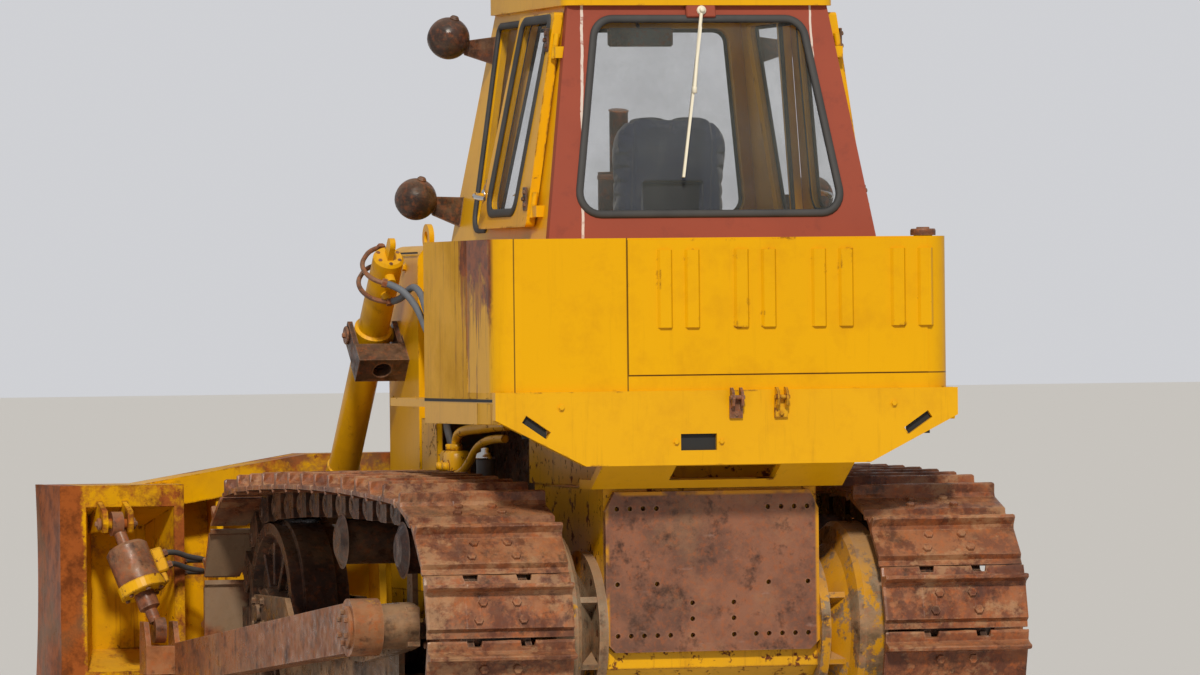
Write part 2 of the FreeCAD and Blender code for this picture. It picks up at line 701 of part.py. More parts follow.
nodes["main_case"] = main_case()
nodes["rear_plate"] = rear_plate()
nodes["main_frame"] = main_frame()
nodes["engine"] = engine()
nodes["deck"] = deck()
nodes["rear_tank"] = rear_tank()
both_sides("side_box", side_box())
nodes["rear_bumper"] = rear_bumper()
nodes["hood"] = hood()
nodes["radiator_guard"] = radiator_guard()
nodes["radiator"] = radiator()
nodes["grille"] = grille()
nodes["exhaust"] = exhaust()
nodes["air_cleaner"] = air_cleaner()


# Cab: four leaning walls under a flat roof, with panes set in the middle of each wall

def lean(pair, z):
    """A (bottom, top) size of the cab at height z."""
    return pair[0] + (pair[1] - pair[0]) * (z - CAB_Z[0]) / (CAB_Z[1] - CAB_Z[0])


def moved(pair, by):
    return (pair[0] + by, pair[1] + by)


def negative(pair):
    return (-pair[0], -pair[1])


def slab(outline, radii, way):
    """A prism with rounded corners. The outline's points are vectors."""
    return Part.Face(rounded(outline, radii)).extrude(way)


# Window openings: half width at the bottom and at the top, heights over the foot and under the
# roof of the cab, corner radius
REAR_WINDOW = ((500.0, 388.0), (87.0, 48.0), 75.0)
FRONT_WINDOW = ((520.0, 405.0), (95.0, 48.0), 60.0)


def side_opening(over_foot, under_roof, corners):
    """Corners (y, z, radius) of a side opening, from (y, radius): two at its foot, then two at its head."""
    z0, z1 = CAB_Z[0] + over_foot, CAB_Z[1] - under_roof
    return [(y, z, r) for (y, r), z in zip(corners, (z0, z0, z1, z1))]


DOORWAY = side_opening(55.0, 50.0, ((-60, 45), (530, 10), (328, 10), (-60, 25)))
QUARTER = side_opening(45.0, 43.0, ((566, 10), (744, 70), (755, 30), (364, 10)))
DOOR = side_opening(47.0, 23.0, ((-118, 20), (545, 25), (336, 30), (-122, 12)))
DOOR_PANE = side_opening(101.0, 43.0, ((58, 55), (440, 60), (285, 50), (-84, 18)))
HANDLE_Z = CAB_Z[0] + 170.0

# Heights of the door's two hinges, and the pin that stands in each
HINGES = (CAB_Z[0] + 125.0, CAB_Z[1] - 145.0)
HINGE_PIN = 34.0
HINGE_PIN_R = 5.0


def across(corners, x0, x1, inset=0.0):
    """The opening with these corners, as a prism across the machine."""
    middle_y = sum(y for y, z, r in corners) / len(corners)
    middle_z = sum(z for y, z, r in corners) / len(corners)
    points = []
    for y, z, r in corners:
        points.append(V(x0, y - math.copysign(inset, y - middle_y), z - math.copysign(inset, z - middle_z)))
    return slab(points, [r for y, z, r in corners], V(x1 - x0, 0, 0))


def along(window, y0, y1, inset=0.0):
    """The opening of an end window, as a prism along the machine."""
    (low, high), (over_foot, under_roof), radius = window
    low, high = low - inset, high - inset
    z0, z1 = CAB_Z[0] + over_foot + inset, CAB_Z[1] - under_roof - inset
    points = [V(-low, y0, z0), V(low, y0, z0), V(high, y0, z1), V(-high, y0, z1)]
    return slab(points, [radius] * 4, V(0, y1 - y0, 0))


def end_wall(outer, inward, window):
    """An end wall and its pane. The outer face is (bottom, top) and inward is 1 or -1."""
    y0, y1 = sorted((outer, moved(outer, inward * WALL_T)))
    wall = frustum(negative(CAB_X), CAB_X, y0, y1)
    middle = moved(outer, inward * WALL_T / 2)
    layer = frustum(negative(CAB_X), CAB_X, moved(middle, -GLASS_T / 2), moved(middle, GLASS_T / 2))
    low, high = min(outer) - 100, max(outer) + 100
    pane = layer.common(along(window, low, high, FIT))
    return wall.cut(along(window, low, high)), pane


def side_layer(outside, inside):
    """A slice of the left side, between two distances outwards from its outer face."""
    y0, y1 = moved(CAB_REAR, WALL_T), moved(CAB_FRONT, -WALL_T)
    return frustum(moved(negative(CAB_X), -outside), moved(negative(CAB_X), -inside), y0, y1)


def cab_side():
    wall = side_layer(0, -WALL_T)
    x0, x1 = -CAB_X[0] - 50, 0
    return wall.cut(across(DOORWAY, x0, x1)).cut(across(QUARTER, x0, x1))


def quarter_pane():
    layer = side_layer(-WALL_T / 2 + GLASS_T / 2, -WALL_T / 2 - GLASS_T / 2)
    return layer.common(across(QUARTER, -CAB_X[0] - 50, 0, FIT))


def wide_layer(outside, inside):
    x = negative(CAB_X)
    return frustum(moved(x, -outside), moved(x, -inside), CAB_REAR, CAB_FRONT)


def door_axis_point(z):
    """A point of the door's hinge line, behind its rear edge and in its mid-plane."""
    (y0, z0, r0), (y1, z1, r1) = DOOR[0], DOOR[3]
    y = y0 + (y1 - y0) * (z - z0) / (z1 - z0) - 14
    return V(-lean(CAB_X, z) - DOOR_GAP - DOOR_T / 2, y, z)


def door():
    panel = wide_layer(DOOR_GAP + DOOR_T, DOOR_GAP).common(across(DOOR, -CAB_X[0] - 90, 0))
    panel = panel.cut(across(DOOR_PANE, -CAB_X[0] - 90, 0))
    face = -lean(CAB_X, HANDLE_Z) - DOOR_GAP - DOOR_T
    handle = bar(V(face + 4, 500, HANDLE_Z), V(face - 42, 500, HANDLE_Z), 9)
    grip = bar(V(face - 36, 510, HANDLE_Z + 5), V(face - 36, 410, HANDLE_Z - 11), 8)
    knuckles = []
    for z in HINGES:
        low, high = door_axis_point(z), door_axis_point(z + 45)
        knuckles.append(bar(low, high, 10))
        leaf = box(low.x - 4, low.x + 4, low.y, low.y + 60, z + 2, z + 43)
        knuckles.append(leaf)
    bores = [bar(door_axis_point(z - 1), door_axis_point(z + HINGE_PIN + FIT), HINGE_PIN_R + FIT) for z in HINGES]
    return join([panel, handle, grip] + knuckles).cut(Part.makeCompound(bores))


def door_pane():
    layer = wide_layer(DOOR_GAP + DOOR_T / 2 + GLASS_T / 2, DOOR_GAP + DOOR_T / 2 - GLASS_T / 2)
    return layer.common(across(DOOR_PANE, -CAB_X[0] - 90, 0, FIT))


def door_hinges():
    """The halves of the hinges that stay on the corner post, with their straps."""
    solids = []
    for z in HINGES:
        low, high = door_axis_point(z - 46), door_axis_point(z - 1)
        knuckle = bar(low, high, 10)
        rear = max(low.y - 62, lean(CAB_REAR, z) + 6)
        strap = box(low.x - 2, -lean(CAB_X, z) + 0, rear, low.y + 4, z - 44, z - 3)
        pin = bar(door_axis_point(z - 20), door_axis_point(z + HINGE_PIN), HINGE_PIN_R)
        solids += [knuckle, strap, pin]
    return solids


def cab_roof():
    x = CAB_X[1] + ROOF_OVERHANG
    y0, y1 = CAB_REAR[1] - ROOF_OVERHANG, CAB_FRONT[1] + ROOF_OVERHANG
    z = CAB_Z[1]
    points = [V(-x, y0, z), V(x, y0, z), V(x, y1, z), V(-x, y1, z)]
    roof = slab(points, [45] * 4, V(0, 0, ROOF_T))
    top_edges = []
    for edge in roof.Edges:
        if edge.BoundBox.ZMin > z + ROOF_T - 1:
            top_edges.append(edge)
    return roof.makeChamfer(22, top_edges)


def cowl():
    """The walls below the windscreen, from the side boxes round the driver's feet."""
    x, z0, z1 = CAB_X[0], DECK_Z, CAB_Z[0]
    front = box(-x, x, CAB_FRONT[0] - WALL_T, CAB_FRONT[0], z0, z1)
    walls = [front]
    for side in (-1, 1):
        x0, x1 = sorted((side * x, side * (x - WALL_T)))
        walls.append(box(x0, x1, SIDE_BOX_FRONT, CAB_FRONT[0] - WALL_T + 1, z0, z1))
    return join(walls)


SEAT_X = 235.0
SEAT_REAR = 182.0
SEAT_Z = DECK_Z + 325.0
CUSHION_T = 125.0
BACK_TOP = SEAT_Z + 715.0


def seat_frame():
    pan_z = SEAT_Z - 40
    stand = side_prism(((SEAT_REAR + 60, DECK_Z), (SEAT_REAR + 430, DECK_Z), (SEAT_REAR + 400, pan_z),
                        (SEAT_REAR + 90, pan_z)), -170, 170)
    pan = box(-SEAT_X + 20, SEAT_X - 20, SEAT_REAR + 70, SEAT_REAR + 500, pan_z, SEAT_Z)
    back = side_prism(((SEAT_REAR + 50, SEAT_Z - 30), (SEAT_REAR + 70, SEAT_Z - 30), (SEAT_REAR + 70, SEAT_Z + 20),
                       (SEAT_REAR + 49, SEAT_Z + 460), (SEAT_REAR + 29, SEAT_Z + 460)), -120, 120)
    return join([stand, pan, back])


def seat_cushion():
    z = SEAT_Z + FIT
    points = [V(-SEAT_X, SEAT_REAR + 75, z), V(SEAT_X, SEAT_REAR + 75, z),
              V(SEAT_X, SEAT_REAR + 520, z), V(-SEAT_X, SEAT_REAR + 520, z)]
    return slab(points, [50, 50, 90, 90], V(0, 0, CUSHION_T))


def seat_back():
    """The upholstered back, leaning a little, with round shoulders."""
    y, low, high = SEAT_REAR, SEAT_Z + CUSHION_T + 2 * FIT, BACK_TOP
    points = [V(-SEAT_X, y, low), V(SEAT_X, y, low), V(SEAT_X - 12, y, high), V(-SEAT_X + 12, y, high)]
    block = slab(points, [40, 40, 130, 130], V(0, 240, 0))
    side = ((y + 66, low), (y + 166, low), (y + 98, high), (y, high), (y - 1, high - 90))
    hollow = side_prism(((y + 40, low - 400), (y + 71, SEAT_Z), (y + 71, SEAT_Z + 20), (y + 49.6, SEAT_Z + 461),
                         (y + 10, SEAT_Z + 461)), -121, 121)
    return block.common(side_prism(side, -SEAT_X, SEAT_X)).cut(hollow)


def controls():
    """The instrument console, two steering levers, the blade lever and the pedals."""
    wall = CAB_FRONT[0] - WALL_T
    console = side_prism(((wall - 110, DECK_Z), (wall, DECK_Z), (wall, CAB_Z[0] - 30), (wall - 70, CAB_Z[0] - 30),
                          (wall - 150, CAB_Z[0] - 130), (wall - 110, CAB_Z[0] - 260)), -290, 290)
    solids = [console]
    # Foot and knob of each lever, from the middle of the deck
    levers = (((-90, 830), (-90, 745, 1960)), ((90, 830), (90, 745, 1960)), ((400, 560), (390, 470, 2010)))
    for (x, y), knob in levers:
        foot = box(x - 30, x + 30, y - 30, y + 30, DECK_Z, DECK_Z + 16)
        end = V(*knob)
        solids.append(join([foot, bar(V(x, y, DECK_Z + 8), end, 11), Part.makeSphere(26, end)]))
    for x in (-190, 190):
        solids.append(side_prism(((790, DECK_Z), (840, DECK_Z), (800, DECK_Z + 130), (785, DECK_Z + 125)),
                                 x - 45, x + 45))
    return Part.makeCompound(solids)


# Lamps of the left side: middle, and the bracket's plate as (x, z) points
LAMP_R = 78.0
UPPER_LAMP = V(-680, 790, CAB_Z[1] - 85)
LOWER_LAMP = V(-770, 948, CAB_Z[0] + 165)


def lamp(middle, plate):
    shell = Part.makeSphere(LAMP_R, middle)
    lens_cut = box(middle.x - 100, middle.x + 100, middle.y + 48, middle.y + 120, middle.z - 100, middle.z + 100)
    return join([shell.cut(lens_cut), rear_prism(plate, middle.y - 6, middle.y + 6)])


def lamps():
    x, y, z = UPPER_LAMP
    upper = lamp(UPPER_LAMP, ((x + 40, z - 12), (-lean(CAB_X, z - 10) + 0, z + 6),
                              (-lean(CAB_X, z - 96), z - 96), (x + 60, z - 62)))
    x, y, z = LOWER_LAMP
    lower = lamp(LOWER_LAMP, ((x + 40, z + 10), (-lean(CAB_X, z + 6), z + 6), (-lean(CAB_X, z - 104), z - 104),
                              (x + 62, z - 60)))
    return Part.makeCompound([upper, lower])


rear_wall, rear_pane = end_wall(CAB_REAR, 1, REAR_WINDOW)
front_wall, front_pane = end_wall(CAB_FRONT, -1, FRONT_WINDOW)
nodes["cab_rear_wall"] = rear_wall
nodes["cab_front_wall"] = front_wall
nodes["rear_pane"] = rear_pane
nodes["front_pane"] = front_pane
both_sides("cab_side", join([cab_side()] + door_hinges()).cut(rear_wall))
nodes["side_panes"] = Part.makeCompound([quarter_pane(), mirrored(quarter_pane())])
both_sides("door", door())
both_sides("door_pane", door_pane())
nodes["cab_roof"] = cab_roof()
nodes["cowl"] = cowl()
nodes["seat_frame"] = seat_frame()
nodes["seat_cushion"] = seat_cushion()
nodes["seat_back"] = seat_back()
nodes["controls"] = controls()
both_sides("work_lamps", lamps())


# Blade, push arms and cylinders

def set_along(shape, place, way):
    """Turn a piece about X so that its own +Z points along way, and move it to its place."""
    turn = FreeCAD.Placement(place, FreeCAD.Rotation(V(1, 0, 0), math.degrees(math.atan2(-way.y, way.z))))
    piece = shape.copy()
    piece.Placement = turn.multiply(piece.Placement)
    return piece


def spun(profile):
    """A solid turned about its own Z, from (radius, height) points."""
    return face_of([V(r, 0, t) for r, t in profile]).revolve(V(0, 0, 0), V(0, 0, 1), 360)


# The blade sheet's back in the side view, from its foot up
SHEET_FOOT = (SHEET_BACK + 122.0, 110.0)
SHEET_MIDDLE = (SHEET_BACK, 620.0)
SHEET_HEAD = (SHEET_BACK + 70.0, BLADE_MID_TOP)
MEMBER_H = 110.0
MID_MEMBER_Y = 3330.0
END_BLOCK_X = ARM_X - 60
CHEEK_T = 25.0
BLADE_FOOT = 160.0


def sheet_y(z, forward=0.0):
    """Where the sheet's back is at height z, on the arc through its three points."""
    (y1, z1), (y2, z2), (y3, z3) = SHEET_FOOT, SHEET_MIDDLE, SHEET_HEAD
    d = 2 * (y1 * (z2 - z3) + y2 * (z3 - z1) + y3 * (z1 - z2))
    a, b, c = y1 ** 2 + z1 ** 2, y2 ** 2 + z2 ** 2, y3 ** 2 + z3 ** 2
    centre_y = (a * (z2 - z3) + b * (z3 - z1) + c * (z1 - z2)) / d
    centre_z = (a * (y3 - y2) + b * (y1 - y3) + c * (y2 - y1)) / d
    radius = math.hypot(y1 - centre_y, z1 - centre_z)
    return centre_y - math.sqrt(radius ** 2 - (z - centre_z) ** 2) + forward


def sheet_arc(forward):
    low, middle, high = [V(0, y + forward, z) for y, z in (SHEET_FOOT, SHEET_MIDDLE, SHEET_HEAD)]
    return Part.Arc(low, middle, high).toShape()


def sheet_prism(edges):
    """A prism as wide as the blade, from edges of its side view."""
    face = Part.Face(Part.Wire(Part.__sortEdges__(edges)))
    prism = face.extrude(V(2 * BLADE_X, 0, 0))
    prism.translate(V(-BLADE_X, 0, 0))
    return prism


def line(start, end):
    return Part.LineSegment(V(0, *start), V(0, *end)).toShape()


def top_profile(below):
    """The blade's top line as (x, z) points, some distance below its edge."""
    right = [(END_BLOCK_X + 130, BLADE_END_TOP - below), (BLADE_X + 1, BLADE_END_TOP - below)]
    left = [(-x, z) for x, z in reversed(right)]
    return left + [(-600, BLADE_MID_TOP - below), (600, BLADE_MID_TOP - below)] + right


def lug_pair(x, place, reach_y, width, thick, height):
    """Two plates beside an eye, from the face at reach_y out round the eye's middle."""
    y, z = place
    outline = ((reach_y, z - height), (reach_y, z + height), (y + 10, z + height * 0.62), (y - 46, z + 42),
               (y - 58, z), (y - 46, z - 42), (y + 10, z - height * 0.62))
    plates = []
    for side in (-1, 1):
        x0, x1 = sorted((x + side * width, x + side * (width + thick)))
        plates.append(side_prism(outline, x0, x1))
    return plates


def ball(place, radius):
    """A ball turned about an axis across the machine."""
    x, y, z = place
    angles = [math.pi * k / 10 for k in range(11)]
    return turned([(x - radius * math.cos(a), radius * math.sin(a)) for a in angles], y, z)


def tilt_bracket(x):
    """Two plates rooted in the end box, with a pin and its ball between them."""
    y, z = TILT_TOP[1:]
    gap = TILT_EYE_W / 2 + TILT_TOP_GAP
    outline = ((SHEET_BACK - 35, BLADE_END_TOP - 60), (SHEET_BACK - 35, BLADE_END_TOP - 200), (y + 34, z - 28),
               (y - 28, z - 34), (y - 44, z), (y - 30, z + 52), (BLADE_FRAME_Y + 10, BLADE_END_TOP - 60))
    plates = [side_prism(outline, x + gap, x + gap + 22), side_prism(outline, x - gap - 22, x - gap)]
    pin = bar(V(x - gap - 22, y, z), V(x + gap + 22, y, z), TILT_PIN_R)
    return plates + [join([pin, ball((x, y, z), TILT_BALL_R)])]


def blade():
    """The curved sheet between the end cheeks, with the lugs of the lift rods."""
    (fy, fz), (hy, hz) = SHEET_FOOT, SHEET_HEAD
    t = SHEET_T
    sheet = sheet_prism([sheet_arc(0), sheet_arc(t), line((fy, fz), (fy + t, fz)), line((hy, hz), (hy + t, hz))])
    edge = BLADE_X - CHEEK_T - FIT
    outline = [(-edge, fz - 1), (edge, fz - 1)] + [(min(x, edge), z) for x, z in reversed(top_profile(0)) if x > 0]
    outline += [(-x, z) for x, z in reversed(outline[2:])]
    solids = [sheet.common(rear_prism(outline, SHEET_BACK - 10, fy + 2 * t))]
    for side in (-1, 1):
        solids += lug_pair(side * LIFT_X, LIFT_EYE, SHEET_BACK + 8, EYE_W / 2 + LIFT_LUG_GAP, LUG_T, 120)
    return join(solids)


def end_box(side, rear, front):
    """A deep box at an end of the blade, as a wall by the sheet and four round its open back.

    rear and front are the pocket's inner and outer x and its low and high z, at its mouth and at its end.
    """
    fy = SHEET_FOOT[0]
    y0, y1 = BLADE_FRAME_Y, SHEET_BACK - 40
    walls = [box(END_BLOCK_X, BLADE_X, y1, fy, BLADE_FOOT, BLADE_END_TOP)]
    for edge, low, high in ((BLADE_FOOT, rear[2], front[2]), (BLADE_END_TOP, rear[3], front[3])):
        walls.append(side_prism(((y0, edge), (y0, low), (y1, high), (y1, edge)), END_BLOCK_X, BLADE_X))
    for edge, mouth, end in ((END_BLOCK_X, rear[0], front[0]), (BLADE_X, rear[1], front[1])):
        face = face_of([V(edge, y0, 0), V(mouth, y0, 0), V(end, y1, 0), V(edge, y1, 0)])
        walls.append(face.extrude(V(0, 0, BLADE_END_TOP - BLADE_FOOT)).translated(V(0, 0, BLADE_FOOT)))
    if side < 0:
        walls = [mirrored(wall) for wall in walls]
    return walls


def blade_frame():
    """The members, ribs and deep end boxes behind the sheet, with the cheeks and the arms' lugs."""
    (fy, fz), (hy, hz) = SHEET_FOOT, SHEET_HEAD
    t = SHEET_T
    rear = BLADE_FRAME_Y - 200
    behind = sheet_prism([sheet_arc(-FIT), line((fy - FIT, fz), (rear, fz)), line((rear, fz), (rear, hz)),
                          line((rear, hz), (hy - FIT, hz))])
    frame = []
    pocket_rear = (END_BLOCK_X + 40, BLADE_X - 105, BLADE_FOOT + 130, BLADE_END_TOP - 85)
    pocket_front = (END_BLOCK_X + 90, BLADE_X - 190, BLADE_FOOT + 210, BLADE_END_TOP - 165)
    for side in (-1, 1):
        frame += end_box(side, pocket_rear, pocket_front)
    band = top_profile(0) + top_profile(MEMBER_H)[::-1]
    frame.append(rear_prism(band, MID_MEMBER_Y, hy + t))
    frame.append(box(-END_BLOCK_X, END_BLOCK_X, MID_MEMBER_Y - 60, fy, BLADE_FOOT, BLADE_FOOT + 140))
    for x in (-960, -300, 300, 960):
        frame.append(side_prism(((MID_MEMBER_Y + 20, BLADE_END_TOP - 20), (MID_MEMBER_Y - 40, BLADE_FOOT + 130),
                                 (fy, BLADE_FOOT + 130), (fy, BLADE_END_TOP - 20)), x - 14, x + 14))
    solids = [member.common(behind) for member in frame]
    cheek = [line((BLADE_FRAME_Y, BLADE_FOOT), (BLADE_FRAME_Y, BLADE_END_TOP)),
             line((BLADE_FRAME_Y, BLADE_END_TOP), (sheet_y(BLADE_END_TOP) + 75, BLADE_END_TOP)),
             Part.Arc(V(0, sheet_y(BLADE_END_TOP) + 75, BLADE_END_TOP), V(0, sheet_y(620) + 82, 620),
                      V(0, fy + 60, fz)).toShape(),
             line((fy + 60, fz), (fy, fz)), line((fy, fz), (BLADE_FRAME_Y, BLADE_FOOT))]
    cheek_face = Part.Face(Part.Wire(Part.__sortEdges__(cheek)))
    for x in (-BLADE_X, BLADE_X - CHEEK_T):
        solids.append(cheek_face.extrude(V(CHEEK_T, 0, 0)).translated(V(x, 0, 0)))
    for side in (-1, 1):
        solids += lug_pair(side * ARM_X, ARM_FRONT, BLADE_FRAME_Y + 5, EYE_W / 2 + LUG_GAP, LUG_T, 84)
        solids += tilt_bracket(side * abs(TILT_TOP[0]))
    # The ball on which the right arm carries the blade
    middle = V(ARM_X, *ARM_FRONT)
    reach = V(EYE_W / 2 + LUG_GAP + 2, 0, 0)
    solids.append(join([ball(middle, BALL_R), bar(middle.sub(reach), middle.add(reach), BALL_PIN_R)]))
    return apart(solids)


def cutting_edge():
    """The bolted wear plate that reaches the ground."""
    top = SHEET_FOOT[1] + 95
    foot_y, top_y = sheet_y(SHEET_FOOT[1], SHEET_T + FIT), sheet_y(top, SHEET_T + FIT)
    run = (foot_y - top_y) / (top - SHEET_FOOT[1])
    low_y = foot_y + run * (SHEET_FOOT[1] - GROUND_GAP)
    half = BLADE_X - CHEEK_T - FIT
    return side_prism(((low_y, GROUND_GAP), (low_y + EDGE_T, GROUND_GAP), (top_y + EDGE_T, top - 12),
                       (top_y, top)), -half, half)


def push_arm():
    """The left push arm: bearing on the trunnion, box beam, front eye and the tilt lugs."""
    start, end = V(-ARM_X, *TRUNNION), V(-ARM_X, *ARM_FRONT)
    way = end.sub(start).normalize()
    up = V(0, -way.z, way.y)
    half = ARM_W / 2

    def beam(near, far, h0, h1, width):
        corners = (start.add(way * near).add(up * h0), end.sub(way * far).add(up * h1),
                   end.sub(way * far).sub(up * h1), start.add(way * near).sub(up * h0))
        return side_prism([(p.y, p.z) for p in corners], -ARM_X - width, -ARM_X + width)

    outer = -ARM_X - half
    bearing = bar(V(outer, *TRUNNION), V(-ARM_X + half, *TRUNNION), 104)
    solids = [bearing, beam(30, 150, ARM_H / 2, ARM_H / 2 - 12, half), beam(400, 20, 66, 52, EYE_W / 2),
              bar(V(-ARM_X - EYE_W / 2, *ARM_FRONT), V(-ARM_X + EYE_W / 2, *ARM_FRONT), EYE_R)]
    x, y, z = TILT_EYE
    gap = TILT_EYE_W / 2 + TILT_LUG_GAP
    solids.append(box(x - gap - 20, -ARM_X - half + 5, y - 75, y + 45, z - 170, z - TILT_EYE_R - 10))
    for x0 in (x - gap - 20, x + gap):
        solids.append(side_prism(((y - 75, z - 170), (y + 45, z - 170), (y + 45, z - 60), (y + 34, z + 34),
                                  (y - 34, z + 34), (y - 75, z - 60)), x0, x0 + 20))
    arm = join(solids)
    bore = bar(V(-ARM_X + half + 1, *TRUNNION), V(outer + 11, *TRUNNION), 46.5)
    return arm.cut(bore)


def lift_way():
    return V(0, LIFT_EYE[0] - LIFT_YOKE[0], LIFT_EYE[1] - LIFT_YOKE[1])


def lift_barrel():
    """The left lift barrel, with its trunnion ring, gland nut, head lug and oil ports."""
    r, bore, head, gland = LIFT_BARREL_R, LIFT_BORE_R, LIFT_HEAD, LIFT_GLAND
    tube = spun(((0, -head), (r - 9, -head), (r, 12 - head), (r, -40), (r + RING_T, -34), (r + RING_T, 34), (r, 40),
                 (r, gland - 44), (r + 6, gland - 40), (r + 6, gland), (LIFT_ROD_R + 0.5, gland),
                 (LIFT_ROD_R + 0.5, gland - 34), (bore, gland - 34), (bore, 34 - head), (0, 34 - head)))
    pins = []
    for side in (-1, 1):
        pins.append(bar(V(side * r, 0, 0), V(side * (r + RING_T + YOKE_GAP + YOKE_T - 2), 0, 0), TRUNNION_R))
    lug = box(-11, 11, -26, 26, -head - 60, 4 - head)
    eye = bar(V(-11, 0, -head - 58), V(11, 0, -head - 58), 26)
    ports = [bar(V(0, r - 8, t), V(0, r + 34, t), 20) for t in (58 - head, 150 - head)]
    barrel = join([tube, lug, eye] + pins + ports)
    return set_along(barrel, V(-LIFT_X, *LIFT_YOKE), lift_way())


def lift_rod():
    length = lift_way().Length
    piston = LIFT_PISTON
    rod = spun(((0, piston - 60), (LIFT_BORE_R - 0.5, piston - 60), (LIFT_BORE_R - 0.5, piston),
                (LIFT_ROD_R, piston), (LIFT_ROD_R, length - 40), (0, length - 40)))
    eye = bar(V(-EYE_W / 2, 0, length), V(EYE_W / 2, 0, length), 52)
    return set_along(join([rod, eye]), V(-LIFT_X, *LIFT_YOKE), lift_way())


def lift_yoke():
    """The fork on the side of the radiator guard that holds the barrel's two trunnions."""
    inner = LIFT_BARREL_R + RING_T + YOKE_GAP
    outer = inner + YOKE_T
    arms = []
    for side in (-1, 1):
        x0, x1 = sorted((side * inner, side * outer))
        arm = box(x0, x1, -34, 150, -42, 42)
        arms.append(arm)
    block = box(-outer, outer, 112, 205, -56, 56)
    bore = bar(V(0, 150, 0), V(0, 206, 0), 36)
    pin_holes = bar(V(-outer - 1, 0, 0), V(outer + 1, 0, 0), TRUNNION_R + FIT)
    fork = join(arms + [block]).cut(Part.makeCompound([bore, pin_holes]))
    pad = box(outer - 1, LIFT_X - GUARD_X, 60, 205, -56, 56)
    return set_along(join([fork, pad]), V(-LIFT_X, *LIFT_YOKE), lift_way())


def along_line(shape, start, end):
    way = V(*end).sub(V(*start))
    piece = shape.copy()
    piece.Placement = FreeCAD.Placement(V(*start), FreeCAD.Rotation(V(0, 0, 1), way))
    return piece


def eye_at(place, radius, width):
    x, y, z = place
    return bar(V(x - width / 2, y, z), V(x + width / 2, y, z), radius)


def tilt_length():
    return V(*TILT_EYE).sub(V(*TILT_TOP)).Length


def tilt_barrel():
    r = TILT_BARREL_R
    body = spun(((0, 36), (TILT_NECK_R, 36), (TILT_NECK_R, 92), (r - 14, 100), (r, 114), (r, 262), (r + 7, 266),
                 (r + 7, 300),
                 (TILT_ROD_R + 0.5, 300), (TILT_ROD_R + 0.5, 280), (r - 18, 280), (r - 18, 128), (0, 128)))
    barrel = join([along_line(body, TILT_TOP, TILT_EYE), eye_at(TILT_TOP, TILT_EYE_R - 2, TILT_EYE_W)])
    return barrel.cut(ball(TILT_TOP, TILT_BALL_R + FIT))


def tilt_rod():
    length = tilt_length()
    body = spun(((0, 170), (TILT_BARREL_R - 19, 170), (TILT_BARREL_R - 19, 210), (TILT_ROD_R, 210),
                 (TILT_ROD_R, length - 97), (TILT_NECK_R, length - 86), (TILT_NECK_R, length - 36), (0, length - 36)))
    return join([along_line(body, TILT_TOP, TILT_EYE), eye_at(TILT_EYE, TILT_EYE_R, TILT_EYE_W)])


def blade_brace():
    """The screw strut that stays the blade on the right, where the left side has its cylinder."""
    length = tilt_length()
    neck = TILT_NECK_R
    body = spun(((0, 36), (neck, 36), (neck, 92), (52, 112), (52, length - 112), (neck, length - 92),
                 (neck, length - 36), (0, length - 36)))
    top, eye = (-TILT_TOP[0],) + TILT_TOP[1:], (-TILT_EYE[0],) + TILT_EYE[1:]
    strut = join([along_line(body, top, eye), eye_at(top, TILT_EYE_R - 2, TILT_EYE_W),
                  eye_at(eye, TILT_EYE_R, TILT_EYE_W)])
    return strut.cut(ball(top, TILT_BALL_R + FIT))


nodes["blade"] = blade()
nodes["blade_frame"] = blade_frame()
nodes["cutting_edge"] = cutting_edge()
nodes["push_arm_left"] = push_arm()
nodes["push_arm_right"] = mirrored(push_arm()).cut(ball((ARM_X,) + ARM_FRONT, BALL_R + FIT))
both_sides("lift_barrel", lift_barrel())
both_sides("lift_rod", lift_rod())
both_sides("lift_yoke", lift_yoke())
nodes["tilt_barrel"] = tilt_barrel()
nodes["tilt_rod"] = tilt_rod()
nodes["blade_brace"] = blade_brace()

# Move everything along Y, so that the machine stands with its middle over the origin
MIDDLE_Y = (min(shape.BoundBox.YMin for shape in nodes.values())
            + max(shape.BoundBox.YMax for shape in nodes.values())) / 2

os.makedirs("parts", exist_ok=True)
for name, shape in nodes.items():
    placed = shape.translated(V(0, -MIDDLE_Y, 0))
    placed.exportStep("parts/" + name + ".step")
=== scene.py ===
"""Looks of the crawler bulldozer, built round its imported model. Metres; +Y forward, +X the machine's right."""
import math
import random

import bmesh
import bpy
from mathutils import Matrix, Vector


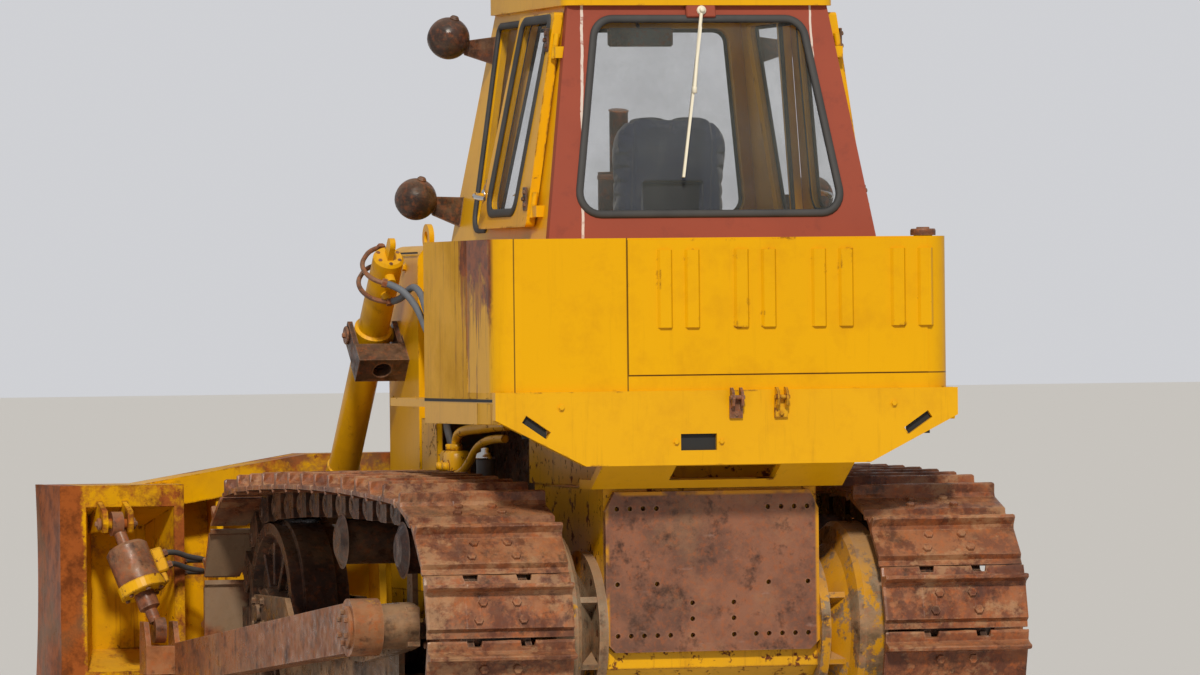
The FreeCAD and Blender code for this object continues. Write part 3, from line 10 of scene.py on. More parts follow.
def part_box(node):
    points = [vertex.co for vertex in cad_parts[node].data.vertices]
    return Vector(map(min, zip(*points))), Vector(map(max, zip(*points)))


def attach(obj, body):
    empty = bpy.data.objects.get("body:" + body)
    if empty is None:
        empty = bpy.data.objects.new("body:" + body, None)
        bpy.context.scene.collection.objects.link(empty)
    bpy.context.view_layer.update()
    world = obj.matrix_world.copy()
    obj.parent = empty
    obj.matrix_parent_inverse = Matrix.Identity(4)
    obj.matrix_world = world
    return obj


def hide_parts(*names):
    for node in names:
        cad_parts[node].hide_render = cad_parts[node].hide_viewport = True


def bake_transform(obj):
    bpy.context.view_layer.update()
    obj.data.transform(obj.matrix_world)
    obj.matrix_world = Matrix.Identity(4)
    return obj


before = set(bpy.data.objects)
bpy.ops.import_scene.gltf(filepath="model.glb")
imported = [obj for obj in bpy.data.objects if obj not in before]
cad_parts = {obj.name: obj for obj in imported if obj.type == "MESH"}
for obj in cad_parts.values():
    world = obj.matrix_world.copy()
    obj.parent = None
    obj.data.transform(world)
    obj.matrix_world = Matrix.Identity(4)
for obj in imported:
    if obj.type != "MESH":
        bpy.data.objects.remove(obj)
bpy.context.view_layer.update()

# The origin is this far forward of the sprocket axis
MIDDLE_Y = 1.589411
PITCH = 0.203
TEETH = 25
SHOES = 37
PIN_R = PITCH / 2 / math.sin(2 * math.pi / TEETH)
AXLE_Z = PIN_R + 0.126
WRAP = TEETH / 8
RUN = (SHOES - 4 * WRAP) / 2
WHEELBASE = RUN * PITCH
TRACK_X = 0.850
CAB_Z = (1.945, 2.785)
CAB_X = (0.613, 0.487)
CAB_REAR = (-0.310, -0.145)
CAB_FRONT = (1.040, 0.840)


def at(x, y, z):
    """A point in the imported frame, from one with Y = 0 at the sprocket axis."""
    return Vector((x, y - MIDDLE_Y, z))


def lean(pair, z):
    return pair[0] + (pair[1] - pair[0]) * (z - CAB_Z[0]) / (CAB_Z[1] - CAB_Z[0])


def srgb(r, g, b):
    """Linear colour from 0-255 screen values."""
    out = []
    for c in (r, g, b):
        c = c / 255
        out.append(c / 12.92 if c <= 0.04045 else ((c + 0.055) / 1.055) ** 2.4)
    return (out[0], out[1], out[2], 1.0)


# Camera

def place_camera():
    right = Vector((0.96119719, -0.27564283, -0.01099975))
    up = Vector((0.01115092, -0.00101881, 0.99993731))
    ahead = Vector((0.27563675, 0.96125959, -0.00209439))
    data = bpy.data.cameras.new("camera")
    data.sensor_width = 36
    data.lens = 251.1
    data.clip_end = 300
    camera = bpy.data.objects.new("camera", data)
    bpy.context.scene.collection.objects.link(camera)
    turn = Matrix((right, up, -ahead)).transposed().to_4x4()
    camera.matrix_world = Matrix.Translation(at(-8.66726743, -29.04717572, 1.655)) @ turn
    bpy.context.scene.camera = camera


def light_scene():
    """Pale floor, one soft key from behind on the left, and a pale sky that fills from all round."""
    scene = bpy.context.scene
    scene.view_settings.view_transform = "Standard"
    mesh = bpy.data.meshes.new("floor")
    mesh.from_pydata([(-90, -60, 0), (90, -60, 0), (90, 160, 0), (-90, 160, 0)], [], [(0, 1, 2, 3)])
    floor = bpy.data.objects.new("floor", mesh)
    scene.collection.objects.link(floor)
    floor.data.materials.append(plain("floor_pale", (0.60, 0.59, 0.57, 1), 0.9))
    world = bpy.data.worlds.new("sky")
    scene.world = world
    world.use_nodes = True
    tree = world.node_tree
    back = tree.nodes["Background"]
    back.inputs["Color"].default_value = (0.95, 0.96, 1.0, 1)
    seen = tree.nodes.new("ShaderNodeLightPath")
    strength = tree.nodes.new("ShaderNodeMapRange")
    strength.inputs[3].default_value = 0.42
    strength.inputs[4].default_value = 0.66
    tree.links.new(seen.outputs["Is Camera Ray"], strength.inputs[0])
    tree.links.new(strength.outputs[0], back.inputs["Strength"])
    sun = bpy.data.lights.new("key", "SUN")
    sun.energy = 2.7
    sun.angle = 0.10
    sun.color = (1.0, 0.94, 0.84)
    key = bpy.data.objects.new("key", sun)
    key.rotation_euler = Vector((0.20, 0.70, -0.62)).to_track_quat("-Z", "Y").to_euler()
    scene.collection.objects.link(key)


# Materials: each one is a principled shader fed by masks on the object's own coordinates

class Shader:
    """A small helper that adds and links nodes."""

    def __init__(self, name, roughness=0.6, metallic=0.0):
        self.material = bpy.data.materials.new(name)
        self.material.use_nodes = True
        self.tree = self.material.node_tree
        self.surface = self.tree.nodes["Principled BSDF"]
        self.surface.inputs["Roughness"].default_value = roughness
        self.surface.inputs["Metallic"].default_value = metallic
        self.place = self.tree.nodes.new("ShaderNodeTexCoord").outputs["Object"]

    def add(self, kind, inputs=(), **settings):
        node = self.tree.nodes.new(kind)
        for key, value in settings.items():
            setattr(node, key, value)
        for key, value in dict(inputs).items():
            self.put(node.inputs[key], value)
        return node

    def put(self, socket, value):
        if isinstance(value, bpy.types.NodeSocket):
            self.tree.links.new(value, socket)
        else:
            socket.default_value = value

    def stretched(self, scale):
        """The object's coordinates, each axis times its own number."""
        return self.add("ShaderNodeMapping", {"Vector": self.place, "Scale": scale}).outputs["Vector"]

    def noise(self, scale, detail=4.0, rough=0.55, stretch=None):
        place = self.place if stretch is None else self.stretched(stretch)
        node = self.add("ShaderNodeTexNoise", {"Vector": place, "Scale": scale, "Detail": detail, "Roughness": rough})
        return node.outputs["Fac"]

    def steps(self, value, low, high, top=1.0):
        """0 below low, top above high."""
        node = self.add("ShaderNodeMapRange", {0: value, 1: low, 2: high, 3: 0.0, 4: top})
        return node.outputs[0]

    def math(self, operation, a, b=0.0):
        node = self.add("ShaderNodeMath", operation=operation, use_clamp=operation in ("ADD", "MAXIMUM"))
        self.put(node.inputs[0], a)
        self.put(node.inputs[1], b)
        return node.outputs[0]

    def blend(self, mask, first, second):
        node = self.add("ShaderNodeMix", data_type="RGBA")
        self.put(node.inputs[0], mask)
        self.put(node.inputs[6], first)
        self.put(node.inputs[7], second)
        return node.outputs[2]

    def axes(self):
        return self.add("ShaderNodeSeparateXYZ", {0: self.place}).outputs

    def edge(self, radius):
        """1 along sharp edges, 0 on flat faces."""
        bevel = self.add("ShaderNodeBevel", {"Radius": radius}, samples=4)
        normal = self.add("ShaderNodeNewGeometry").outputs["Normal"]
        dot = self.add("ShaderNodeVectorMath", {0: bevel.outputs[0], 1: normal}, operation="DOT_PRODUCT")
        return self.steps(self.math("SUBTRACT", 1.0, dot.outputs["Value"]), 0.005, 0.12)

    def up(self):
        """1 on faces that look up."""
        normal = self.add("ShaderNodeNewGeometry").outputs["Normal"]
        return self.steps(self.add("ShaderNodeSeparateXYZ", {0: normal}).outputs[2], 0.35, 0.9)

    def line(self, value, middle, half):
        """1 within half of middle."""
        away = self.math("ABSOLUTE", self.math("SUBTRACT", value, middle))
        return self.math("LESS_THAN", away, half)

    def bump(self, height, strength, distance):
        node = self.add("ShaderNodeBump", {"Height": height, "Strength": strength, "Distance": distance})
        self.put(self.surface.inputs["Normal"], node.outputs[0])

    def colour(self, value):
        self.put(self.surface.inputs["Base Color"], value)

    def rough(self, value):
        self.put(self.surface.inputs["Roughness"], value)


def plain(name, colour, roughness, metallic=0.0):
    shader = Shader(name, roughness, metallic)
    shader.colour(colour)
    return shader.material


def yellow(name, wear, dirt, drips=0.3):
    """Weathered paint. wear is how much bare rust shows, dirt how brown the flat faces are."""
    s = Shader(name)
    s.surface.inputs["Specular IOR Level"].default_value = 0.28
    base = s.blend(s.noise(1.7, 3), srgb(232, 172, 4), srgb(220, 160, 6))
    base = s.blend(s.math("MULTIPLY", s.steps(s.noise(7, 8, 0.7), 0.5, 0.8), 0.4), base, srgb(192, 128, 14))
    runs = s.steps(s.noise(3.2, 6, 0.7, (9, 9, 0.5)), 0.57, 0.75, drips)
    base = s.blend(runs, base, srgb(140, 82, 14))
    smear = s.steps(s.noise(1.1, 7, 0.65), 0.62 - dirt * 0.3, 0.85, min(1.0, dirt * 1.6))
    base = s.blend(smear, base, srgb(146, 100, 40))
    dust = s.math("MULTIPLY", s.up(), s.steps(s.noise(4, 5), 0.3, 0.7, 0.45))
    base = s.blend(dust, base, srgb(180, 142, 72))
    chips = s.steps(s.noise(19, 9, 0.74), 0.735 - wear * 0.22, 0.75 - wear * 0.2)
    edges = s.math("MULTIPLY", s.edge(0.012), s.steps(s.noise(8, 6, 0.7), 0.60 - wear * 0.3, 0.66 - wear * 0.2))
    bare = s.math("MAXIMUM", chips, edges)
    rust = s.blend(s.noise(33, 6, 0.7), srgb(128, 64, 24), srgb(70, 38, 24))
    s.colour(s.blend(bare, base, rust))
    s.rough(s.steps(s.math("ADD", bare, smear), -0.55, 0.9, 0.82))
    s.bump(s.math("SUBTRACT", s.noise(60, 3), s.math("MULTIPLY", bare, 0.5)), 0.18, 0.0015)
    return s


def rusty(name, light, dark, paint=0.0, dusty=0.2, spots=0.6):
    """Bare rusty steel, with what is left of its paint and dust on top."""
    s = Shader(name, 0.8)
    s.surface.inputs["Specular IOR Level"].default_value = 0.3
    base = s.blend(s.steps(s.noise(4.5, 9, 0.7), 0.42, 0.58), light, dark)
    base = s.blend(s.steps(s.noise(2.1, 9, 0.72, (1, 1, 1.6)), 0.50, 0.62, dusty + 0.15), base, srgb(172, 132, 96))
    base = s.blend(s.steps(s.noise(40, 7, 0.7), 0.50, 0.62, spots), base, srgb(166, 88, 40))
    base = s.blend(s.steps(s.noise(11, 9, 0.75), 0.52, 0.64, 0.8), base, srgb(50, 32, 25))
    if paint:
        left = s.steps(s.noise(3.1, 9, 0.72), 0.66 - paint * 0.3, 0.69 - paint * 0.3)
        base = s.blend(left, base, s.blend(s.noise(9, 4), srgb(216, 156, 16), srgb(168, 112, 26)))
    worn = s.math("MULTIPLY", s.edge(0.008), s.steps(s.noise(12, 4), 0.35, 0.6))
    base = s.blend(s.math("MULTIPLY", worn, 0.5), base, srgb(176, 138, 112))
    dust = s.math("ADD", s.math("MULTIPLY", s.up(), dusty), s.steps(s.noise(2.3, 6, 0.6), 0.5, 0.8, dusty))
    s.colour(s.blend(dust, base, srgb(150, 120, 92)))
    s.rough(s.steps(s.noise(25, 4), 0.2, 0.9, 0.9))
    s.bump(s.noise(70, 8, 0.7), 0.35, 0.002)
    return s


def make_materials():
    m = {}
    m["yellow"] = yellow("yellow_paint", 0.14, 0.16).material
    m["side_box"] = side_box_material()
    m["door"] = yellow("door_paint", 0.35, 0.35).material
    m["bumper"] = yellow("bumper_paint", 0.12, 0.08, 0.25).material
    m["cylinder"] = yellow("cylinder_paint", 0.22, 0.42, 0.7).material
    m["worn"] = yellow("worn_paint", 0.78, 0.45, 0.7).material
    m["frame"] = rusty("dusty_frame", srgb(112, 92, 72), srgb(78, 60, 46), 0.06, 0.6, 0.2).material
    m["drive"] = rusty("dusty_drive", srgb(142, 122, 98), srgb(110, 88, 64), 0.42, 0.7, 0.3).material
    m["blade"] = blade_material()
    m["arm"] = rusty("arm_steel", srgb(158, 100, 60), srgb(120, 70, 40), 0.16, 0.2).material
    m["brown_barrel"] = rusty("brown_barrel", srgb(132, 82, 56), srgb(98, 60, 42), 0.0, 0.25).material
    m["track"] = track_material()
    m["dark_steel"] = rusty("dark_steel", srgb(76, 54, 46), srgb(46, 36, 32), 0.0, 0.12, 0.3).material
    m["bolt"] = rusty("bolt_steel", srgb(122, 78, 54), srgb(80, 52, 40), 0.0, 0.2).material
    m["plate"] = rear_plate_material()
    m["tank"] = tank_material()
    m["primer"] = primer_material()
    m["fabric"] = fabric_material()
    m["rubber"] = rubber_material()
    m["glass"] = glass_material()
    m["chrome"] = plain("rod_chrome", (0.70, 0.68, 0.66, 1), 0.22, 1.0)
    m["hose"] = hose_material("grey_hose", srgb(112, 122, 134))
    m["black_hose"] = hose_material("black_hose", srgb(38, 38, 40))
    m["navy"] = plain("navy_plastic", srgb(34, 36, 46), 0.7)
    m["cream"] = plain("cream_paint", srgb(226, 218, 196), 0.5)
    m["grey_steel"] = rusty("grey_steel", srgb(120, 122, 120), srgb(92, 92, 90), 0.0, 0.4).material
    m["black"] = plain("dull_black", (0.012, 0.012, 0.012, 1), 0.65)
    return m


def blade_material():
    """Yellow left in the middle of the blade's back, rubbed to rust along its top and ends."""
    s = yellow("blade_paint", 0.48, 0.66, 0.9)
    base = s.surface.inputs["Base Color"].links[0].from_socket
    x, y, z = s.axes()
    rim = s.steps(s.math("MULTIPLY", y, -1.0), -1.575, -1.563, 0.09)
    ends = s.math("MAXIMUM", s.steps(s.math("ABSOLUTE", x), 1.54, 1.60, 0.42), s.math("MAXIMUM", rim, s.steps(z, 0.98, 1.12, 0.10)))
    worn = s.math("ADD", s.noise(3.6, 9, 0.74), ends)
    rust = s.blend(s.steps(s.noise(12, 9, 0.72), 0.42, 0.58), srgb(156, 84, 38), srgb(110, 58, 28))
    rust = s.blend(s.steps(s.noise(3, 6), 0.5, 0.6, 0.5), rust, srgb(132, 100, 70))
    s.surface.inputs["Specular IOR Level"].default_value = 0.05
    s.colour(s.blend(s.steps(worn, 0.54, 0.65), base, rust))
    return s.material


def track_material():
    """Rusty shoes, with dry mud on the inner faces of the foremost ones."""
    s = rusty("track_steel", srgb(148, 92, 58), srgb(112, 62, 40), 0.0, 0.22)
    base = s.surface.inputs["Base Color"].links[0].from_socket
    base = s.blend(s.steps(s.noise(6.5, 9, 0.74), 0.50, 0.57, 0.7), base, srgb(84, 48, 36))
    base = s.blend(s.steps(s.noise(5.1, 9, 0.76, (1, 1.7, 1.2)), 0.53, 0.60, 0.6), base, srgb(170, 130, 94))
    x, y, z = s.axes()
    normal = s.add("ShaderNodeSeparateXYZ", {0: s.add("ShaderNodeNewGeometry").outputs["Normal"]}).outputs[1]
    mud = s.math("MULTIPLY", s.steps(s.math("MULTIPLY", normal, -1.0), 0.2, 0.6), s.steps(y, 1.10, 1.18))
    mud = s.math("MULTIPLY", mud, s.steps(s.noise(5, 6), 0.36, 0.5, 0.9))
    s.colour(s.blend(mud, base, srgb(138, 114, 90)))
    return s.material


def rear_plate_material():
    """Brown drilled plate with pale scuffs, and yellow left along its rim."""
    s = rusty("rear_plate_steel", srgb(138, 92, 70), srgb(106, 72, 58), 0.0, 0.12, 0.35)
    base = s.surface.inputs["Base Color"].links[0].from_socket
    x, y, z = s.axes()
    rim = s.math("MAXIMUM", s.steps(s.math("ABSOLUTE", x), 0.384, 0.392), s.steps(z, 1.020, 1.028))
    rim = s.math("MULTIPLY", rim, s.steps(s.noise(6, 5), 0.40, 0.5))
    scuffs = s.steps(s.noise(9, 7, 0.7, (1, 1, 3)), 0.62, 0.72, 0.5)
    base = s.blend(scuffs, base, srgb(160, 124, 110))
    s.colour(s.blend(rim, base, srgb(202, 140, 24)))
    return s.material


def tank_material():
    """The rear panel's paint, with its two upright seams, a level seam right of the second one, and rust at the left
    corner.
    """
    s = yellow("tank_paint", 0.03, 0.04, 0.12)
    s.surface.inputs["Specular IOR Level"].default_value = 0.14
    base = s.surface.inputs["Base Color"].links[0].from_socket
    x, y, z = s.axes()
    seams = s.math("MAXIMUM", s.line(x, -0.782, 0.0022), s.line(x, -0.365, 0.0025))
    low = s.math("MULTIPLY", s.line(z, 1.455, 0.0025), s.steps(x, -0.366, -0.364))
    seams = s.math("MAXIMUM", seams, low)
    base = s.blend(s.math("MULTIPLY", seams, 0.85), base, srgb(84, 58, 24))
    side = s.steps(s.math("MULTIPLY", x, -1.0), 0.842, 0.850)
    s.colour(rust_runs(s, base, side, s.steps(z, 1.45, 1.90, 0.42)))
    return s.material


def rust_runs(s, base, where, strength):
    """A burst of rust with runs below it."""
    ragged = s.math("ADD", s.noise(4.5, 9, 0.72), strength)
    runs = s.math("ADD", s.noise(5, 8, 0.72, (4, 4, 0.3)), s.math("MULTIPLY", strength, 0.45))
    burst = s.math("MAXIMUM", s.steps(ragged, 0.72, 0.84), s.steps(runs, 0.56, 0.63, 0.8))
    rust = s.blend(s.steps(s.noise(22, 7, 0.7), 0.42, 0.58), srgb(148, 74, 22), srgb(104, 52, 20))
    return s.blend(s.math("MULTIPLY", burst, where), base, rust)


def side_box_material():
    """The side boxes' paint, browner than the rest, with rust running on from the tank's side."""
    s = yellow("side_box_paint", 0.14, 0.56, 0.7)
    s.surface.inputs["Specular IOR Level"].default_value = 0.06
    base = s.surface.inputs["Base Color"].links[0].from_socket
    x, y, z = s.axes()
    rear = s.steps(s.math("MULTIPLY", y, -1.0), MIDDLE_Y - 0.12, MIDDLE_Y + 0.02)
    high = s.math("MULTIPLY", s.steps(z, 1.45, 1.90, 0.42), rear)
    s.colour(rust_runs(s, base, s.steps(rear, 0.0, 0.2), high))
    return s.material


def primer_material():
    """Matt red-brown primer, sun-bleached in places, with a few pale runs."""
    s = Shader("primer_paint", 0.75)
    base = s.blend(s.noise(2.2, 5), srgb(158, 70, 44), srgb(132, 56, 38))
    base = s.blend(s.steps(s.noise(13, 8, 0.7), 0.55, 0.75, 0.5), base, srgb(104, 46, 34))
    x, y, z = s.axes()
    away = s.math("SUBTRACT", x, s.math("MULTIPLY", s.math("SUBTRACT", z, 2.588), 0.0615))
    wobble = s.math("MULTIPLY", s.math("SUBTRACT", s.noise(9, 3), 0.5), 0.012)
    run = s.line(s.math("SUBTRACT", away, wobble), -0.447, 0.0050)
    short = s.math("MULTIPLY", s.line(s.math("SUBTRACT", x, wobble), 0.421, 0.004), s.steps(z, 2.50, 2.52))
    spots = s.math("MAXIMUM", run, short)
    spots = s.math("MULTIPLY", spots, s.steps(s.noise(30, 4), 0.32, 0.42))
    s.colour(s.blend(s.math("MULTIPLY", spots, 0.85), base, srgb(222, 208, 196)))
    s.bump(s.noise(80, 4), 0.15, 0.001)
    return s.material


def fabric_material():
    """Navy woven seat cover with fine threads and a slight sheen."""
    s = Shader("seat_cover", 0.92)
    s.surface.inputs["Sheen Weight"].default_value = 0.35
    weave = s.add("ShaderNodeTexChecker", {"Vector": s.place, "Scale": 420.0}).outputs["Fac"]
    base = s.blend(s.noise(5, 5), srgb(48, 56, 82), srgb(34, 40, 62))
    base = s.blend(s.math("MULTIPLY", weave, 0.12), base, srgb(66, 76, 104))
    base = s.blend(s.steps(s.noise(14, 6), 0.55, 0.75, 0.4), base, srgb(84, 86, 98))
    s.colour(base)
    s.bump(s.math("ADD", weave, s.noise(260, 2)), 0.10, 0.0006)
    return s.material


def rubber_material():
    s = Shader("window_rubber", 0.7)
    s.colour(s.blend(s.noise(8, 5), srgb(42, 42, 44), srgb(74, 72, 70)))
    s.bump(s.noise(120, 3), 0.15, 0.0006)
    return s.material


def hose_material(name, colour):
    s = Shader(name, 0.6)
    s.colour(s.blend(s.noise(20, 5), colour, srgb(86, 80, 76)))
    s.bump(s.noise(150, 3), 0.3, 0.0008)
    return s.material


def glass_material():
    """Thin window glass with dusty patches."""
    s = Shader("window_glass", 0.05)
    dust = s.steps(s.noise(3, 6, 0.6), 0.40, 0.85, 0.14)
    s.colour(s.blend(s.noise(2, 2), srgb(96, 104, 106), srgb(128, 128, 118)))
    s.put(s.surface.inputs["Alpha"], s.math("ADD", dust, 0.10))
    s.surface.inputs["Specular IOR Level"].default_value = 0.35
    return s.material




# Making pieces

def piece(name, mesh, body, material=None, smooth=False):
    """Put a finished mesh into the scene on a body."""
    obj = bpy.data.objects.new(name, mesh)
    bpy.context.scene.collection.objects.link(obj)
    if material is not None:
        mesh.materials.clear()
        mesh.materials.append(material)
    for polygon in mesh.polygons:
        polygon.use_smooth = smooth
    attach(obj, body)
    return obj


def merged(parts, name):
    """One mesh from several (vertices, faces) parts."""
    verts, faces = [], []
    for part_verts, part_faces in parts:
        first = len(verts)
        verts += [tuple(v) for v in part_verts]
        faces += [tuple(first + i for i in face) for face in part_faces]
    mesh = bpy.data.meshes.new(name)
    mesh.from_pydata(verts, [], faces)
    bm = bmesh.new()
    bm.from_mesh(mesh)
    bmesh.ops.recalc_face_normals(bm, faces=bm.faces)
    bm.to_mesh(mesh)
    bm.free()
    mesh.validate()
    return mesh


def block(x0, x1, y0, y1, z0, z1, edge=0.002):
    """A box with chamfered edges, as (vertices, faces)."""
    bm = bmesh.new()
    bmesh.ops.create_cube(bm, size=1)
    for v in bm.verts:
        v.co = Vector(((x0 + x1) / 2 + v.co.x * (x1 - x0), (y0 + y1) / 2 + v.co.y * (y1 - y0),
                       (z0 + z1) / 2 + v.co.z * (z1 - z0)))
    if edge:
        bmesh.ops.bevel(bm, geom=bm.edges[:], offset=edge, segments=1, affect="EDGES")
    return taken(bm)


def taken(bm):
    bm.verts.index_update()
    verts = [v.co.copy() for v in bm.verts]
    faces = [[v.index for v in f.verts] for f in bm.faces]
    bm.free()
    return verts, faces


def lathe(profile, sides=32, start=Vector((0, 0, 0)), axis=Vector((0, 0, 1))):
    """A closed solid turned about axis, from (radius, height) points."""
    turn = Vector((0, 0, 1)).rotation_difference(axis.normalized())
    verts, faces = [], []
    for r, h in profile:
        for k in range(sides):
            angle = 2 * math.pi * k / sides
            verts.append(start + turn @ Vector((r * math.cos(angle), r * math.sin(angle), h)))
    rows = len(profile)
    for row in range(rows - 1):
        for k in range(sides):
            a, b = row * sides + k, row * sides + (k + 1) % sides
            faces.append((a, b, b + sides, a + sides))
    faces.append(tuple(range(sides))[::-1])
    faces.append(tuple(range((rows - 1) * sides, rows * sides)))
    return verts, faces


def rod(start, end, radius, sides=16, edge=0.0):
    length = (end - start).length
    edge = min(edge, length / 3)
    profile = [(radius, 0), (radius, length)]
    if edge:
        profile = [(radius - edge, 0), (radius, edge), (radius, length - edge), (radius - edge, length)]
    return lathe(profile, sides, start, end - start)


def prism(outline, low, high, axis=0):
    """A prism along X (0), Y (1) or Z (2), from points of the other two axes."""
    def point(a, b, c):
        return [(c, a, b), (a, c, b), (a, b, c)][axis]
    count = len(outline)
    verts = [Vector(point(a, b, low)) for a, b in outline] + [Vector(point(a, b, high)) for a, b in outline]
    faces = [tuple(range(count))[::-1], tuple(range(count, 2 * count))]
    for i in range(count):
        j = (i + 1) % count
        faces.append((i, j, j + count, i + count))
    return verts, faces


def put(part, place, turn=None):
    """The part turned and then moved."""
    verts, faces = part
    if turn is not None:
        verts = [turn @ v for v in verts]
    return [v + place for v in verts], faces


def flipped(part):
    verts, faces = part
    return [Vector((-v.x, v.y, v.z)) for v in verts], [tuple(f)[::-1] for f in faces]


def tube(points, radius, closed=False, sides=3, smooth=True):
    """A round bead or hose along points, as a mesh."""
    curve = bpy.data.curves.new("path", "CURVE")
    curve.dimensions = "3D"
    curve.bevel_depth = radius
    curve.bevel_resolution = sides
    curve.use_fill_caps = True
    spline = curve.splines.new("NURBS" if smooth else "POLY")
    spline.points.add(len(points) - 1)
    for p, co in zip(spline.points, points):
        p.co = (co[0], co[1], co[2], 1)
    spline.use_cyclic_u = closed
    if smooth:
        spline.order_u = 3
        spline.use_endpoint_u = not closed
        spline.resolution_u = 6
    obj = bpy.data.objects.new("path", curve)
    bpy.context.scene.collection.objects.link(obj)
    bpy.context.view_layer.update()
    mesh = bpy.data.meshes.new_from_object(obj.evaluated_get(bpy.context.evaluated_depsgraph_get()))
    verts = [v.co.copy() for v in mesh.vertices]
    faces = [tuple(f.vertices) for f in mesh.polygons]
    bpy.data.objects.remove(obj)
    return verts, faces


def rounded(corners, steps=6):
    """Points round a polygon whose corners are (a, b, radius)."""
    out = []
    count = len(corners)
    for i, (a, b, r) in enumerate(corners):
        p = Vector((a, b))
        before = (Vector(corners[i - 1][:2]) - p).normalized()
        after = (Vector(corners[(i + 1) % count][:2]) - p).normalized()
        half = before.angle(after) / 2
        centre = p + (before + after).normalized() * (r / math.sin(half))
        first = p + before * (r / math.tan(half)) - centre
        last = p + after * (r / math.tan(half)) - centre
        sweep = first.angle_signed(last) if first.length > 1e-6 else 0
        for k in range(steps + 1):
            angle = -sweep * k / steps
            turned = Vector((first.x * math.cos(angle) - first.y * math.sin(angle),
                             first.x * math.sin(angle) + first.y * math.cos(angle)))
            out.append(centre + turned)
    return out


def repeat(name, unit, places, body, material):
    """Copies of one small mesh at many places, each a 4x4 matrix, made by geometry nodes."""
    carrier = bpy.data.meshes.new(name + "_points")
    carrier.from_pydata([m.to_translation() for m in places], [], [])
    carrier.attributes.new("turn", "FLOAT_VECTOR", "POINT")
    carrier.attributes.new("size", "FLOAT", "POINT")
    turns, sizes = carrier.attributes["turn"], carrier.attributes["size"]
    for i, m in enumerate(places):
        turns.data[i].vector = m.to_euler()
        sizes.data[i].value = m.to_scale().x
    obj = bpy.data.objects.new(name + "_points", carrier)
    bpy.context.scene.collection.objects.link(obj)
    unit_obj = bpy.data.objects.new(name + "_unit", merged([unit], name + "_unit"))
    bpy.context.scene.collection.objects.link(unit_obj)
    tree = bpy.data.node_groups.new(name + "_repeat", "GeometryNodeTree")
    tree.interface.new_socket("Geometry", in_out="INPUT", socket_type="NodeSocketGeometry")
    unit_in = tree.interface.new_socket("Unit", in_out="INPUT", socket_type="NodeSocketObject")
    tree.interface.new_socket("Geometry", in_out="OUTPUT", socket_type="NodeSocketGeometry")
    nodes, links = tree.nodes, tree.links
    start, end = nodes.new("NodeGroupInput"), nodes.new("NodeGroupOutput")
    info = nodes.new("GeometryNodeObjectInfo")
    links.new(start.outputs["Unit"], info.inputs["Object"])
    instance = nodes.new("GeometryNodeInstanceOnPoints")
    links.new(start.outputs["Geometry"], instance.inputs["Points"])
    links.new(info.outputs["Geometry"], instance.inputs["Instance"])
    for attribute, kind, socket in (("turn", "FLOAT_VECTOR", "Rotation"), ("size", "FLOAT", "Scale")):
        read = nodes.new("GeometryNodeInputNamedAttribute")
        read.data_type = kind
        read.inputs["Name"].default_value = attribute
        links.new(read.outputs["Attribute"], instance.inputs[socket])
    real = nodes.new("GeometryNodeRealizeInstances")
    links.new(instance.outputs["Instances"], real.inputs["Geometry"])
    paint = nodes.new("GeometryNodeSetMaterial")
    paint.inputs["Material"].default_value = material
    links.new(real.outputs["Geometry"], paint.inputs["Geometry"])
    links.new(paint.outputs["Geometry"], end.inputs["Geometry"])
    modifier = obj.modifiers.new("repeat", "NODES")
    modifier.node_group = tree
    modifier[unit_in.identifier] = unit_obj
    bpy.context.view_layer.update()
    mesh = bpy.data.meshes.new_from_object(obj.evaluated_get(bpy.context.evaluated_depsgraph_get()))
    for old in (obj, unit_obj):
        bpy.data.objects.remove(old)
    return piece(name, mesh, body, material)


# Chain and running gear

def pin_place(u):
    """Middle of a pin u pitches round the loop, from the rearmost one up over the top."""
    step = 2 * math.pi / (4 * WRAP)
    if u < WRAP:
        angle = math.pi - u * step
        return Vector((0, PIN_R * math.cos(angle), AXLE_Z + PIN_R * math.sin(angle)))
    u = u - WRAP
    if u < RUN:
        t = u / RUN
        return Vector((0, t * WHEELBASE, AXLE_Z + PIN_R + 0.031 * 4 * t * (1 - t)))
    u = u - RUN
    if u < 2 * WRAP:
        angle = math.pi / 2 - u * step
        return Vector((0, WHEELBASE + PIN_R * math.cos(angle), AXLE_Z + PIN_R * math.sin(angle)))
    u = u - 2 * WRAP
    if u < RUN:
        return Vector((0, WHEELBASE * (1 - u / RUN), AXLE_Z - PIN_R))
    angle = -math.pi / 2 - (u - RUN) * step
    return Vector((0, PIN_R * math.cos(angle), AXLE_Z + PIN_R * math.sin(angle)))


def link_frames(x):
    """A frame at the middle of each link: X across, Y along the chain, Z out of it."""
    out = []
    for k in range(SHOES):
        pin, after = pin_place(k), pin_place((k + 1) % SHOES)
        along = (after - pin).normalized()
        outward = Vector((0, -along.z, along.y))
        turn = Matrix((along.cross(outward), along, outward)).transposed().to_4x4()
        middle = (pin + after) / 2
        out.append(Matrix.Translation(at(x, middle.y, middle.z)) @ turn)
    return out


